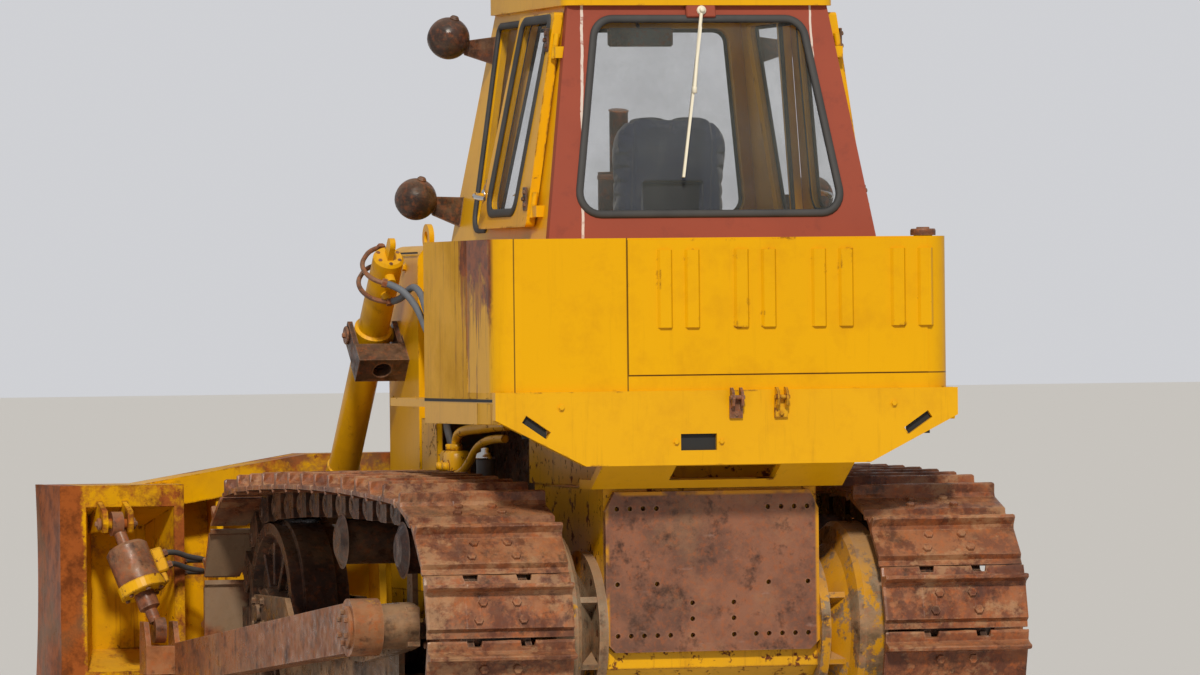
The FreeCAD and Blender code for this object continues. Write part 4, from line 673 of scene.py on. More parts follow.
def shoe_unit(rng):
    """One shoe: a bent plate with lapping lips, a worn grouser and its four bolts."""
    # Along the chain, and out from the line of pins
    profile = ((-0.117, 0.050), (-0.117, 0.057), (-0.095, 0.060), (-0.087, 0.0795), (0.034, 0.0805), (0.044, 0.092),
               (0.0505, 0.1235), (0.054, 0.126), (0.063, 0.126), (0.0665, 0.1225), (0.0685, 0.095), (0.074, 0.080),
               (0.103, 0.0775), (0.1085, 0.0725), (0.1085, 0.0655), (0.100, 0.062), (-0.088, 0.060), (-0.100, 0.048))
    half = [0.0, 0.035, 0.070, 0.075, 0.122, 0.127, 0.155, 0.205, 0.235, 0.262, 0.270]
    across = [-x for x in half[:0:-1]] + half
    verts, faces = [], []
    for i, x in enumerate(across):
        end = i in (0, len(across) - 1)
        notched = 0.072 < abs(x) < 0.125
        for s, n in profile:
            chip = rng.uniform(-0.0030, -0.0002) if n > 0.12 else rng.uniform(-0.0008, 0.0008)
            low = 0.003 if end and n > 0.075 else 0.0
            place = min(s, 0.0860) if notched else s + (rng.uniform(-0.0015, 0.0015) if n > 0.09 or s > 0.1 else 0)
            verts.append(Vector((x, place, n + chip - low)))
    count = len(profile)
    for i in range(len(across) - 1):
        for j in range(count):
            a, b = i * count + j, i * count + (j + 1) % count
            faces.append((a, b, b + count, a + count))
    faces.append(tuple(range(count)))
    faces.append(tuple(range((len(across) - 1) * count, len(across) * count))[::-1])
    parts = [(verts, faces)]
    for x, s in ((-0.082, -0.056), (0.082, -0.056), (-0.062, 0.008), (0.062, 0.008)):
        head = lathe([(0.0175, 0.0), (0.0175, 0.009), (0.0155, 0.0125)], 6)
        parts.append(put(head, Vector((x, s, 0.0795))))
    return joined(parts)


def joined(parts):
    verts, faces = [], []
    for part_verts, part_faces in parts:
        first = len(verts)
        verts += list(part_verts)
        faces += [tuple(first + i for i in face) for face in part_faces]
    return verts, faces


def link_unit():
    """The two links under a shoe, lapping at the pins, with the bushing between them."""
    parts = []
    rear = [(-0.1015 + 0.036 * math.cos(a), 0.036 * math.sin(a)) for a in [math.pi * (0.5 + k / 8) for k in range(9)]]
    front = [(0.1015 + 0.036 * math.cos(a), 0.036 * math.sin(a)) for a in [math.pi * (k / 8 - 0.5) for k in range(9)]]
    rear_half = rear[:7] + [(-0.078, -0.048), (0.012, -0.048), (0.012, 0.060), (-0.085, 0.060)]
    front_half = front[2:] + [(0.085, 0.060), (-0.012, 0.060), (-0.012, -0.048), (0.078, -0.048)]
    for side in (-1, 1):
        for outline, low, high in ((rear_half, 0.0725, 0.0955), (front_half, 0.094, 0.1175)):
            x0, x1 = sorted((side * low, side * high))
            parts.append(prism(outline, x0, x1, 0))
        parts.append(rod(Vector((side * 0.1, 0.1015, 0)), Vector((side * 0.121, 0.1015, 0)), 0.021, 12, 0.003))
    parts.append(rod(Vector((-0.0735, 0.1015, 0)), Vector((0.0735, 0.1015, 0)), 0.033, 14, 0.002))
    return joined(parts)


def bolt_ring(name, middle, axis, circle, count, size, body, material, phase=0.0, tall=0.012):
    """Hexagon bolt heads on a circle about middle, standing along axis."""
    turn = Vector((0, 0, 1)).rotation_difference(axis.normalized()).to_matrix().to_4x4()
    places = []
    for k in range(count):
        angle = 2 * math.pi * k / count + phase
        spot = Matrix.Translation((circle * math.cos(angle), circle * math.sin(angle), 0))
        places.append(Matrix.Translation(middle) @ turn @ spot)
    head = lathe([(size * 1.25, 0), (size * 1.25, size * 0.2), (size, size * 0.22), (size, tall), (size * 0.85, tall * 1.2)], 6)
    return repeat(name, head, places, body, material)


def make_tracks(m):
    rng = random.Random(11)
    shoe, link = shoe_unit(rng), link_unit()
    for side, x in (("left", -TRACK_X), ("right", TRACK_X)):
        places = link_frames(x)
        shoes = repeat("track_shoes_" + side, shoe, places, "machine", m["track"])
        repeat("track_links_" + side, link, places, "machine", m["dark_steel"])
        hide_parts("track_" + side)
        out = Vector((-1 if side == "left" else 1, 0, 0))
        hub = at(x, 0, AXLE_Z) + out * (0.027 + 0.096)
        bolt_ring("sprocket_cap_bolts_" + side, hub, out, 0.088, 6, 0.012, "machine", m["bolt"])
        bolt_ring("sprocket_bolts_" + side, at(x, 0, AXLE_Z) + out * 0.027, out, 0.185, 12, 0.014, "machine", m["bolt"])
        for face, way in (("outer", out), ("inner", -out)):
            ribs = []
            for k in range(10):
                angle = 2 * math.pi * k / 10
                turn = Matrix.Rotation(angle, 3, "X")
                rib = block(-0.016, 0.016, -0.009, 0.009, 0.108, 0.272, 0.004)
                ribs.append(put(rib, at(x, WHEELBASE, AXLE_Z) + way * 0.086, turn))
            piece("idler_ribs_" + face + "_" + side, merged(ribs, "ribs"), "machine", m["dark_steel"])
        drum = at(x, 0, AXLE_Z) - out * (TRACK_X - 0.434)
        bolt_ring("drive_bolts_" + side, drum, -out, 0.255, 16, 0.013, "machine", m["bolt"])


# Cab

REAR_WINDOW = ((0.500, 0.388), (2.032, 2.737), 0.075)
FRONT_WINDOW = ((0.520, 0.405), (2.040, 2.737), 0.060)
QUARTER = ((0.566, 1.990, 0.010), (0.744, 1.990, 0.070), (0.755, 2.742, 0.030), (0.364, 2.742, 0.010))
DOOR_PANE = ((0.058, 2.046, 0.055), (0.440, 2.046, 0.060), (0.285, 2.742, 0.050), (-0.084, 2.742, 0.018))
DOORWAY = ((-0.060, 2.000, 0.045), (0.530, 2.000, 0.010), (0.328, 2.735, 0.010), (-0.060, 2.735, 0.025))
DOOR_FACE = 0.040


def end_window(window):
    (low, high), (z0, z1), r = window
    return rounded(((-low, z0, r), (low, z0, r), (high, z1, r), (-high, z1, r)), 7)


def bead(points, width, height, out):
    """A flat rubber bead round a closed loop of points, standing out along a direction."""
    verts, faces = [], []
    count = len(points)
    shape = ((-0.5, 0.0), (-0.42, 0.7), (-0.2, 1.0), (0.2, 1.0), (0.42, 0.7), (0.5, 0.0))
    for i, p in enumerate(points):
        along = (points[(i + 1) % count] - points[i - 1]).normalized()
        across = along.cross(out).normalized()
        for a, h in shape:
            verts.append(p + across * a * width + out * (h * height - 0.004))
    n = len(shape)
    for i in range(count):
        for j in range(n):
            a, b = i * n + j, i * n + (j + 1) % n
            c, d = ((i + 1) % count) * n + j, ((i + 1) % count) * n + (j + 1) % n
            faces.append((a, b, d, c))
    return verts, faces


def make_window_rubbers(m):
    rear_out = Vector((0, -0.84, 0.165)).normalized()
    front_out = Vector((0, 0.84, 0.20)).normalized()
    rear = [at(p.x, lean(CAB_REAR, p.y), p.y) for p in end_window(REAR_WINDOW)]
    front = [at(p.x, lean(CAB_FRONT, p.y), p.y) for p in end_window(FRONT_WINDOW)]
    parts = [bead(rear, 0.030, 0.014, rear_out), bead(front, 0.028, 0.014, front_out)]
    side_out = Vector((-0.84, 0, 0.126)).normalized()
    quarter = [at(-lean(CAB_X, p.y), p.x, p.y) for p in rounded(QUARTER)]
    doorway = [at(-lean(CAB_X, p.y) + 0.036, p.x, p.y) for p in rounded(DOORWAY)]
    for part in (bead(quarter, 0.026, 0.013, side_out), bead(doorway, 0.020, 0.012, -side_out)):
        parts += [part, flipped(part)]
    piece("window_rubbers", merged(parts, "rubbers"), "machine", m["rubber"], True)
    glass = [at(-lean(CAB_X, p.y) - DOOR_FACE, p.x, p.y) for p in rounded(DOOR_PANE)]
    inner = [at(-lean(CAB_X, p.y) - 0.006, p.x, p.y) for p in rounded(DOOR_PANE)]
    door = joined([bead(glass, 0.034, 0.012, side_out), bead(inner, 0.026, 0.002, -side_out)])
    piece("door_rubber_left", merged([door], "rubber"), "door_left", m["rubber"], True)
    piece("door_rubber_right", merged([flipped(door)], "rubber"), "door_right", m["rubber"], True)


def make_wiper(m):
    """The rear wiper, hung from a pivot over the window."""
    out = Vector((0, -0.84, 0.165)).normalized()

    def on_wall(x, z, off):
        return at(x, lean(CAB_REAR, z), z) + out * off

    pivot, tip = on_wall(0.006, 2.762, 0.0), on_wall(-0.106, 2.157, 0.022)
    parts = [rod(pivot - out * 0.01, pivot + out * 0.030, 0.017, 20, 0.003),
             rod(pivot + out * 0.030, pivot + out * 0.040, 0.010, 12, 0.002)]
    elbow = on_wall(-0.045, 2.47, 0.040)
    parts.append(tube([pivot + out * 0.026, pivot * 0.5 + elbow * 0.5 + out * 0.006, elbow], 0.0065))
    parts.append(rod(elbow - Vector((0, 0, 0.012)), elbow + Vector((0, 0, 0.012)), 0.009, 10, 0.002))
    piece("wiper_arm", merged(parts, "arm"), "machine", m["cream"], True)
    top = on_wall(-0.004, 2.700, 0.022)
    along = (tip - top).normalized()
    across = along.cross(out).normalized()
    blades = []
    for off, half, thick in ((0.004, 0.0045, 0.010), (-0.010, 0.0018, 0.016)):
        corners = []
        for side, lift in ((-1, 0), (1, 0), (1, 1), (-1, 1)):
            corners.append(across * side * half + out * (off + lift * thick))
        verts = [top + c for c in corners] + [tip + c for c in corners]
        faces = [(3, 2, 1, 0), (4, 5, 6, 7)] + [(i, (i + 1) % 4, (i + 1) % 4 + 4, i + 4) for i in range(4)]
        blades.append((verts, faces))
    piece("wiper_blade", merged(blades[:1], "blade"), "machine", m["cream"])
    piece("wiper_lip", merged(blades[1:], "lip"), "machine", m["black"])
    cover = block(-0.055, 0.055, -0.020, 0.002, -0.026, 0.022, 0.004)
    turn = Matrix.Rotation(-0.195, 3, "X")
    piece("wiper_cover", merged([put(cover, on_wall(0.006, 2.764, 0.0), turn)], "cover"), "machine", m["primer"])


def make_cab_fittings(m):
    """Mirror, roof lining, door hinges' bars, latch strikers and grips."""
    mirror = joined([put(block(-0.125, 0.125, -0.012, 0.012, -0.035, 0.035, 0.008), at(0.03, 0.70, 2.700)),
                     rod(at(0.03, 0.71, 2.72), at(0.03, 0.76, 2.775), 0.007, 10)])
    piece("inner_mirror", merged([mirror], "mirror"), "machine", m["grey_steel"])
    lining = block(-0.43, 0.43, at(0, -0.08, 0).y, at(0, 0.78, 0).y, 2.765, 2.783, 0.006)
    piece("roof_lining", merged([lining], "lining"), "machine", m["black"])
    edge_out = Vector((-1, 0, 0.15)).normalized()
    left_bars, striker = [], []
    for z in (2.070, 2.640):
        x = -lean(CAB_X, z) - DOOR_FACE
        y = -0.118 - 0.004 * (z - 1.992) / 0.770
        verts_faces = put(block(-0.007, 0.001, 0.007, 0.050, -0.020, 0.065, 0.002), at(x, y + 0.002, z))
        left_bars.append(verts_faces)
        for dy, dz in ((0.021, 0.0), (0.021, 0.045), (0.040, 0.022)):
            left_bars.append(rod(at(x - 0.004, y + dy, z + dz), at(x - 0.014, y + dy, z + dz + 0.0015), 0.008, 6, 0.001))
    bars = joined(left_bars)
    piece("hinge_leaves_left", merged([bars], "bars"), "door_left", m["dark_steel"])
    piece("hinge_leaves_right", merged([flipped(bars)], "bars"), "door_right", m["dark_steel"])
    for z, y in ((2.135, 0.560),):
        x = -lean(CAB_X, z)
        striker.append(put(block(-0.016, 0.004, -0.022, 0.022, -0.040, 0.040, 0.003), at(x, y, z)))
        striker.append(tube([at(x - 0.010, y - 0.012, z + 0.03), at(x - 0.030, y - 0.014, z + 0.02),
                             at(x - 0.030, y - 0.014, z - 0.02), at(x - 0.010, y - 0.012, z - 0.03)], 0.005))
    strikers = joined(striker)
    piece("door_strikers", merged([strikers, flipped(strikers)], "strikers"), "machine", m["grey_steel"])
    handle = tube([at(-lean(CAB_X, 2.115) - 0.070, 0.502, 2.1185), at(-lean(CAB_X, 2.115) - 0.092, 0.470, 2.114),
                   at(-lean(CAB_X, 2.115) - 0.092, 0.410, 2.104), at(-lean(CAB_X, 2.115) - 0.072, 0.385, 2.101)], 0.0085)
    collar = rod(at(-lean(CAB_X, 2.115) - 0.040, 0.500, 2.115), at(-lean(CAB_X, 2.115) - 0.048, 0.500, 2.115), 0.022, 20, 0.002)
    grip = joined([handle, collar])
    piece("door_grip_left", merged([grip], "grip"), "door_left", m["chrome"], True)
    piece("door_grip_right", merged([flipped(grip)], "grip"), "door_right", m["chrome"], True)


def make_lamps(m):
    """Lens rims and glasses of the four work lamps, and their bracket bolts."""
    rims, glasses, bolts = [], [], []
    for x, y, z in ((-0.680, 0.790, 2.700), (-0.770, 0.948, 2.110)):
        middle = at(x, y, z)
        rim = lathe([(0.0615, 0.040), (0.068, 0.044), (0.068, 0.054), (0.0625, 0.057), (0.058, 0.050)], 32, middle, Vector((0, 1, 0)))
        glass = lathe([(0.0575, 0.0485), (0.045, 0.053), (0.028, 0.056), (0.010, 0.0575)], 32, middle, Vector((0, 1, 0)))
        cap = lathe([(0.016, 0.074), (0.018, 0.080), (0.012, 0.088), (0.004, 0.090)], 12, middle, Vector((0.2, -0.35, 0.9)))
        rims += [rim, flipped(rim)]
        glasses += [glass, flipped(glass)]
        bolts += [cap, flipped(cap)]
    piece("lamp_rims", merged(rims + bolts, "rims"), "machine", m["dark_steel"], False)
    piece("lamp_glasses", merged(glasses, "glasses"), "machine", m["glass"], True)


# Body, hydraulics and running gear details

TANK_REAR = -0.450
BUMPER_FACE = -0.474
LIFT_X = 0.550
LIFT_YOKE = (2.476, 1.606)
LIFT_EYE = (3.350, 0.641)
# Down the barrel from its trunnion, and how far round it the pipe from the port runs, in degrees
LIFT_PORTS = ((-0.352, -80), (-0.260, -100))
TILT_TOP = (-1.440, 3.080, 0.875)
TILT_EYE = (-1.310, 2.920, 0.460)
TILT_WALL = -1.15
BACK = Vector((0, -1, 0))
HEX = ((1.45, 0.0), (1.45, 0.22), (1.0, 0.24), (1.0, 0.95), (0.82, 1.15))


def hex_head(place, axis, size, tall=None):
    """A hexagon head on its washer, standing along axis."""
    height = tall or size * 0.9
    return lathe([(r * size, h * height) for r, h in HEX], 6, place, axis)


def both(parts):
    return list(parts) + [flipped(part) for part in parts]


def behind(y):
    """A plane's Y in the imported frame."""
    return y - MIDDLE_Y


def make_rear_fittings(m):
    """Worn faces and bolts of the two latches, bolts of the bumper, black blocks behind its slots as painted shade, and
    the filler cap.
    """
    worn, kept = [], []
    for x, parts in ((0.026, worn), (0.194, kept)):
        parts.append(block(x - 0.0245, x + 0.0245, behind(BUMPER_FACE - 0.0108), behind(BUMPER_FACE - 0.002), 1.2995, 1.3785, 0.001))
        outline = ((-0.003, 1.3295), (-0.0345, 1.3445), (-0.0408, 1.368), (-0.0345, 1.3925), (-0.016, 1.4087), (-0.003, 1.4087))
        for off in (-0.0216, 0.0124):
            cheek = [(behind(BUMPER_FACE + y), z) for y, z in outline]
            parts.append(prism(cheek, x + off, x + off + 0.0092, 0))
        parts.append(rod(at(x - 0.0268, BUMPER_FACE - 0.027, 1.374), at(x + 0.0268, BUMPER_FACE - 0.027, 1.374), 0.0078, 14, 0.001))
        parts.append(hex_head(at(x, BUMPER_FACE - 0.0105, 1.314), BACK, 0.008))
    piece("latch_worn", merged(worn, "latch"), "machine", m["bolt"])
    piece("latch_painted", merged(kept, "latch"), "machine", m["worn"])
    bolts = [hex_head(at(x, BUMPER_FACE, 1.217), BACK, 0.009) for x in (-0.196, -0.028)]
    bolts += [hex_head(at(x, BUMPER_FACE, 1.345), BACK, 0.010) for x in (-0.62, 0.62)]
    piece("bumper_bolts", merged(bolts, "bolts"), "machine", m["bumper"])
    rear = behind(BUMPER_FACE)
    # Painted shade: black blocks just behind the bumper's slots make the slots look shaded inside.
    slots = both([block(0.672, 0.760, rear + 0.0165, rear + 0.024, 1.236, 1.322, 0)])
    slots.append(block(-0.185, -0.038, rear + 0.0165, rear + 0.024, 1.182, 1.252, 0))
    piece("slot_backs", merged(slots, "slots"), "machine", m["black"])
    cap = [lathe([(0.0455, 1.948), (0.046, 1.952), (0.046, 1.966), (0.043, 1.9715), (0.012, 1.9725)], 28, at(0.774, -0.360, 0)),
           block(0.750, 0.798, behind(-0.365), behind(-0.355), 1.966, 1.978)]
    piece("filler_cap", merged(cap, "cap"), "machine", m["bolt"])


def make_body_bolts(m):
    """Screws of the hood, guard and cab floor, the guard's lap, and the sills with the seam over them."""
    sides = []
    left = Vector((-1, 0, 0))
    for y in (1.10, 1.45, 1.80, 2.10):
        for z in (1.33, 1.80):
            sides.append(hex_head(at(-0.420, y, z), left, 0.008, 0.005))
    for z in (0.75, 1.05, 1.35):
        for y in (2.20, 2.54):
            sides.append(hex_head(at(-0.450, y, z), left, 0.012, 0.009))
    for y in (2.34, 2.45, 2.56):
        sides.append(hex_head(at(-0.450, y, 1.866), left, 0.013, 0.010))
    for x in (0.10, 0.25, 0.38):
        sides.append(hex_head(at(-x, 2.19, 1.950), Vector((0, 0, 1)), 0.011, 0.008))
    piece("body_bolts", merged(both(sides), "bolts"), "machine", m["yellow"])
    lap = both([block(0.0, 0.380, behind(2.150), behind(2.176), 1.9500, 1.9560, 0.001)])
    piece("guard_lap", merged(lap, "lap"), "machine", m["yellow"])
    sill = both([block(-0.8522, -0.8370, behind(-0.470), behind(-0.185), 1.2865, 1.3640, 0.002),
                 block(-0.8522, -0.8370, behind(-0.452), behind(-0.058), 1.3768, 1.4008, 0.001)])
    piece("sill_ends", merged(sill, "sill"), "machine", m["side_box"])
    seams = [block(-0.8532, -0.8480, behind(-0.455), behind(0.540), 1.3660, 1.3765, 0),
             block(-0.4512, -0.4480, behind(2.152), behind(2.598), 1.9180, 1.9250, 0)]
    piece("body_seams", merged(both(seams), "seams"), "machine", m["black"])
    rows = []
    for x in [-0.405 + 0.09 * k for k in range(10)]:
        rows.append(hex_head(at(x, 2.600, 0.665), Vector((0, 1, 0)), 0.009, 0.007))
        rows.append(hex_head(at(x, 2.600, 1.922), Vector((0, 1, 0)), 0.009, 0.007))
    piece("guard_bolts", merged(rows, "bolts"), "machine", m["bolt"])


def make_side_bay(m):
    """What shows under the tank in front of the case: a post, a valve, bent pipes and a filter."""
    post = prism([(behind(y), z) for y, z in ((1.885, 0.625), (2.120, 0.625), (2.120, 1.285), (1.900, 1.285))], -0.448, -0.424, 0)
    piece("side_posts", merged(both([post]), "posts"), "machine", m["worn"])
    valve = [block(-0.475, -0.395, behind(1.585), behind(1.765), 1.050, 1.165, 0.012)]
    valve += [rod(at(-0.440, y, 1.165), at(-0.440, y, 1.190), 0.024, 12, 0.004) for y in (1.64, 1.71)]
    valve += [hex_head(at(-0.475, y, 1.105), Vector((-1, 0, 0)), 0.017, 0.020) for y in (1.63, 1.72)]
    pipes = [tube([at(-0.440, 1.640, 1.185), at(-0.440, 1.640, 1.225), at(-0.440, 1.500, 1.245), at(-0.430, 1.330, 1.250),
                   at(-0.400, 1.180, 1.262), at(-0.396, 1.060, 1.262)], 0.019),
             tube([at(-0.475, 1.600, 1.070), at(-0.470, 1.520, 1.072), at(-0.455, 1.420, 1.110), at(-0.440, 1.340, 1.185),
                   at(-0.420, 1.220, 1.215), at(-0.396, 1.100, 1.215)], 0.016)]
    piece("side_valve", merged(both(valve + pipes), "valve"), "machine", m["worn"], True)
    dark = [rod(at(-0.440, 1.215, 0.980), at(-0.440, 1.215, 1.140), 0.036, 24, 0.004),
            tube([at(-0.440, 1.710, 1.185), at(-0.445, 1.740, 1.235), at(-0.430, 1.820, 1.262), at(-0.400, 1.900, 1.275)], 0.014),
            block(-0.470, -0.392, behind(1.150), behind(1.280), 0.950, 0.985, 0.004)]
    piece("side_filter", merged(both(dark), "filter"), "machine", m["black_hose"], True)
    cap = [lathe([(0.037, 0.0), (0.038, 0.006), (0.034, 0.022), (0.018, 0.028), (0.018, 0.040), (0.006, 0.044)], 24, at(-0.440, 1.215, 1.138))]
    piece("filter_caps", merged(both(cap), "caps"), "machine", m["chrome"], True)


def make_exhaust_and_inlet(m):
    """Rain flap of the tail pipe, the silencer's seams and the inlet bowl's clamp."""
    top = at(0.230, 1.690, 2.450)
    flap = lathe([(0.039, 0.0), (0.039, 0.004), (0.034, 0.006)], 24, top + Vector((0, 0, 0.002)), Vector((0.0, -0.20, 1)))
    arm = rod(top + Vector((0, 0.030, -0.020)), top + Vector((0, 0.052, 0.012)), 0.006, 8)
    bands = []
    for z in (1.960, 2.190):
        bands.append(lathe([(0.0822, 0), (0.085, 0.004), (0.085, 0.016), (0.0822, 0.020)], 32, at(0.230, 1.690, z)))
    piece("exhaust_flap", merged([flap, arm] + bands, "flap"), "machine", m["bolt"])
    clamp = lathe([(0.0925, 0), (0.096, 0.004), (0.096, 0.018), (0.0915, 0.022)], 32, at(-0.190, 1.330, 2.012))
    piece("inlet_clamp", merged([clamp], "clamp"), "machine", m["grey_steel"])


def make_frame_bolts(m):
    """Bolts that hold the roller shafts, idler bearings and trunnions."""
    first, last = PIN_R + 0.060, WHEELBASE - PIN_R - 0.020
    rail_top = AXLE_Z - PIN_R + 0.048
    heads = []
    for k in range(5):
        y = first + k * (last - first) / 4
        for dy in (-0.042, 0.042):
            heads.append(hex_head(at(-TRACK_X - 0.162, y + dy, rail_top + 0.100 - 0.030), Vector((-1, 0, 0)), 0.013, 0.011))
        heads.append(rod(at(-TRACK_X - 0.160, y, rail_top + 0.1003), at(-TRACK_X - 0.172, y, rail_top + 0.1003), 0.036, 20, 0.003))
    for dy, dz in ((-0.07, 0.045), (0.06, 0.045), (-0.07, -0.045), (0.06, -0.045)):
        heads.append(hex_head(at(-TRACK_X - 0.162, WHEELBASE + dy, AXLE_Z + dz), Vector((-1, 0, 0)), 0.014, 0.012))
    heads.append(rod(at(-TRACK_X - 0.160, WHEELBASE, AXLE_Z), at(-TRACK_X - 0.176, WHEELBASE, AXLE_Z), 0.034, 24, 0.003))
    piece("track_frame_bolts", merged(both(heads), "bolts"), "machine", m["frame"])
    for side, way in (("left", -1), ("right", 1)):
        out = Vector((way, 0, 0))
        face = at(way * 1.265, 0.100, 0.560)
        cap = lathe([(0.078, -0.002), (0.078, 0.010), (0.070, 0.014), (0.030, 0.016)], 36, face, out)
        piece("trunnion_cap_" + side, merged([cap], "cap"), "arm_" + side, m["arm"])
        bolt_ring("trunnion_bolts_" + side, face + out * 0.012, out, 0.056, 6, 0.010, "arm_" + side, m["bolt"])


def make_blade_details(m):
    """Plough bolts of the cutting edge and the pivot pins' heads."""
    low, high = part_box("cutting_edge")
    foot, head = high.y, low.y + 0.026
    z = 0.150
    y = foot + (head - foot) * (z - low.z) / (high.z - low.z)
    front = Vector((0, 1, (foot - head) / (high.z - low.z))).normalized()
    bolts = [lathe([(0.019, -0.003), (0.019, 0.002), (0.012, 0.0035)], 12, Vector((x, y, z)), front)
             for x in [-1.52 + 0.19 * k for k in range(17)]]
    piece("edge_bolts", merged(bolts, "bolts"), "blade", m["bolt"])
    pins = []
    for way in (-1, 1):
        for x, reach, (py, pz), radius in ((1.210, 0.070, (3.055, 0.315), 0.030), (LIFT_X, 0.084, LIFT_EYE, 0.030),
                                           (1.440, 0.062, TILT_TOP[1:], 0.024)):
            for end in (-1, 1):
                start = at(way * x + end * reach, py, pz)
                pins.append(rod(start, start + Vector((end * 0.014, 0, 0)), radius, 20, 0.003))
                pins.append(hex_head(start + Vector((end * 0.013, 0, 0)), Vector((end, 0, 0)), 0.010))
    piece("blade_pins", merged(pins, "pins"), "blade", m["bolt"])


def make_lift_cylinder(m, side, way):
    """Clamp bolts, port fittings and rod wiper of one lift cylinder."""
    body = "lift_barrel_" + side
    top = at(way * LIFT_X, *LIFT_YOKE)
    down = (at(way * LIFT_X, *LIFT_EYE) - top).normalized()
    across = Vector((way, 0, 0))
    front = Vector((0, -down.z, down.y))
    parts = []
    for k in range(6):
        angle = math.pi * (k + 0.5) / 3
        ray = across * math.cos(angle) + front * math.sin(angle)
        parts.append(hex_head(top - down * 0.398 + ray * 0.044, -down, 0.009, 0.012))
        parts.append(rod(top + down * 0.708 + ray * 0.062, top + down * 0.733 + ray * 0.062, 0.007, 8, 0.001))
    parts.append(lathe([(0.0355, 0.0), (0.046, 0.0), (0.048, 0.010), (0.040, 0.016), (0.0355, 0.016)], 28, top + down * 0.735, down))
    piece("lift_gland_" + side, merged(parts, "gland"), body, m["bolt"])
    pipes = []
    for t, reach in LIFT_PORTS:
        start = top + down * t
        pipes.append(lathe([(0.0215, -0.004), (0.0215, 0.010), (0.017, 0.012), (0.017, 0.018)], 6, start + front * 0.106, front))
        bend = [start + front * 0.118]
        for angle in range(80, reach - 1, -20):
            out = 0.096 + 0.018 * max(0, angle - 40) / 40
            bend.append(start + (across * math.cos(math.radians(angle)) + front * math.sin(math.radians(angle))) * out)
        pipes.append(tube(bend, 0.0095))
        pipes.append(rod(bend[-2].lerp(bend[-1], 0.4), bend[-1], 0.018, 6))
    piece("lift_pipes_" + side, merged(pipes, "pipes"), body, m["bolt"])
    yoke = []
    for end in (-1, 1):
        start = top + across * end * 0.099
        yoke.append(rod(start, start + across * end * 0.010, 0.036, 20, 0.003))
        yoke.append(hex_head(start + across * end * 0.009, across * end, 0.011))
    piece("yoke_caps_" + side, merged(yoke, "caps"), "machine", m["bolt"])


def make_tilt_cylinder(m):
    """Gland bolts, collar and port blocks of the tilt cylinder."""
    top, eye = at(*TILT_TOP), at(*TILT_EYE)
    down = (eye - top).normalized()
    side = down.cross(Vector((1, 0, 0))).normalized()
    across = down.cross(side)
    parts = []
    for k in range(6):
        angle = math.pi * (k + 0.5) / 3
        ray = across * math.cos(angle) + side * math.sin(angle)
        parts.append(hex_head(top + down * 0.299 + ray * 0.072, down, 0.010, 0.012))
    piece("tilt_bolts", merged(parts, "bolts"), "tilt_barrel", m["bolt"])
    collar = [lathe([(0.084, 0.256), (0.0935, 0.258), (0.0935, 0.300), (0.088, 0.304), (0.044, 0.304)], 32, top, down)]
    # Its port block stands to the right of the barrel
    right = (Vector((1, 0, 0)) - down * down.x).normalized()
    turn = Matrix((right, down.cross(right), down)).transposed()
    collar.append(put(block(0.078, 0.128, -0.028, 0.028, 0.146, 0.248, 0.006), top, turn))
    collar.append(put(block(0.086, 0.112, -0.020, 0.020, 0.248, 0.290, 0.004), top, turn))
    piece("tilt_collar", merged(collar, "collar"), "tilt_barrel", m["worn"])


def path_of(points):
    """The points of the smooth curve that a hose follows."""
    curve = bpy.data.curves.new("route", "CURVE")
    curve.dimensions = "3D"
    spline = curve.splines.new("NURBS")
    spline.points.add(len(points) - 1)
    for p, co in zip(spline.points, points):
        p.co = (co[0], co[1], co[2], 1)
    spline.order_u = 3
    spline.use_endpoint_u = True
    spline.resolution_u = 8
    obj = bpy.data.objects.new("route", curve)
    bpy.context.scene.collection.objects.link(obj)
    bpy.context.view_layer.update()
    mesh = bpy.data.meshes.new_from_object(obj.evaluated_get(bpy.context.evaluated_depsgraph_get()))
    line = [v.co.copy() for v in mesh.vertices]
    bpy.data.objects.remove(obj)
    return line


def tube_along(line, radius, sides=14):
    """A round tube with flat ends along a line of points."""
    verts, faces = [], []
    count = len(line)
    across = None
    for i, p in enumerate(line):
        way = (line[min(i + 1, count - 1)] - line[max(i - 1, 0)]).normalized()
        if across is None:
            across = way.orthogonal().normalized()
        across = (across - way * across.dot(way)).normalized()
        other = way.cross(across)
        for k in range(sides):
            angle = 2 * math.pi * k / sides
            verts.append(p + (across * math.cos(angle) + other * math.sin(angle)) * radius)
    for i in range(count - 1):
        for k in range(sides):
            a, b = i * sides + k, i * sides + (k + 1) % sides
            faces.append((a, b, b + sides, a + sides))
    faces.append(tuple(range(sides))[::-1])
    faces.append(tuple(range((count - 1) * sides, count * sides)))
    return verts, faces


def make_hose(name, route, diameter, material):
    """A hydraulic hose from a moving fitting to a fixed one."""
    line = path_of(route)
    mesh = merged([tube_along(line, diameter / 2)], name)
    mesh.materials.append(material)
    for polygon in mesh.polygons:
        polygon.use_smooth = True
    obj = bpy.data.objects.new(name, mesh)
    bpy.context.scene.collection.objects.link(obj)
    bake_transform(obj)


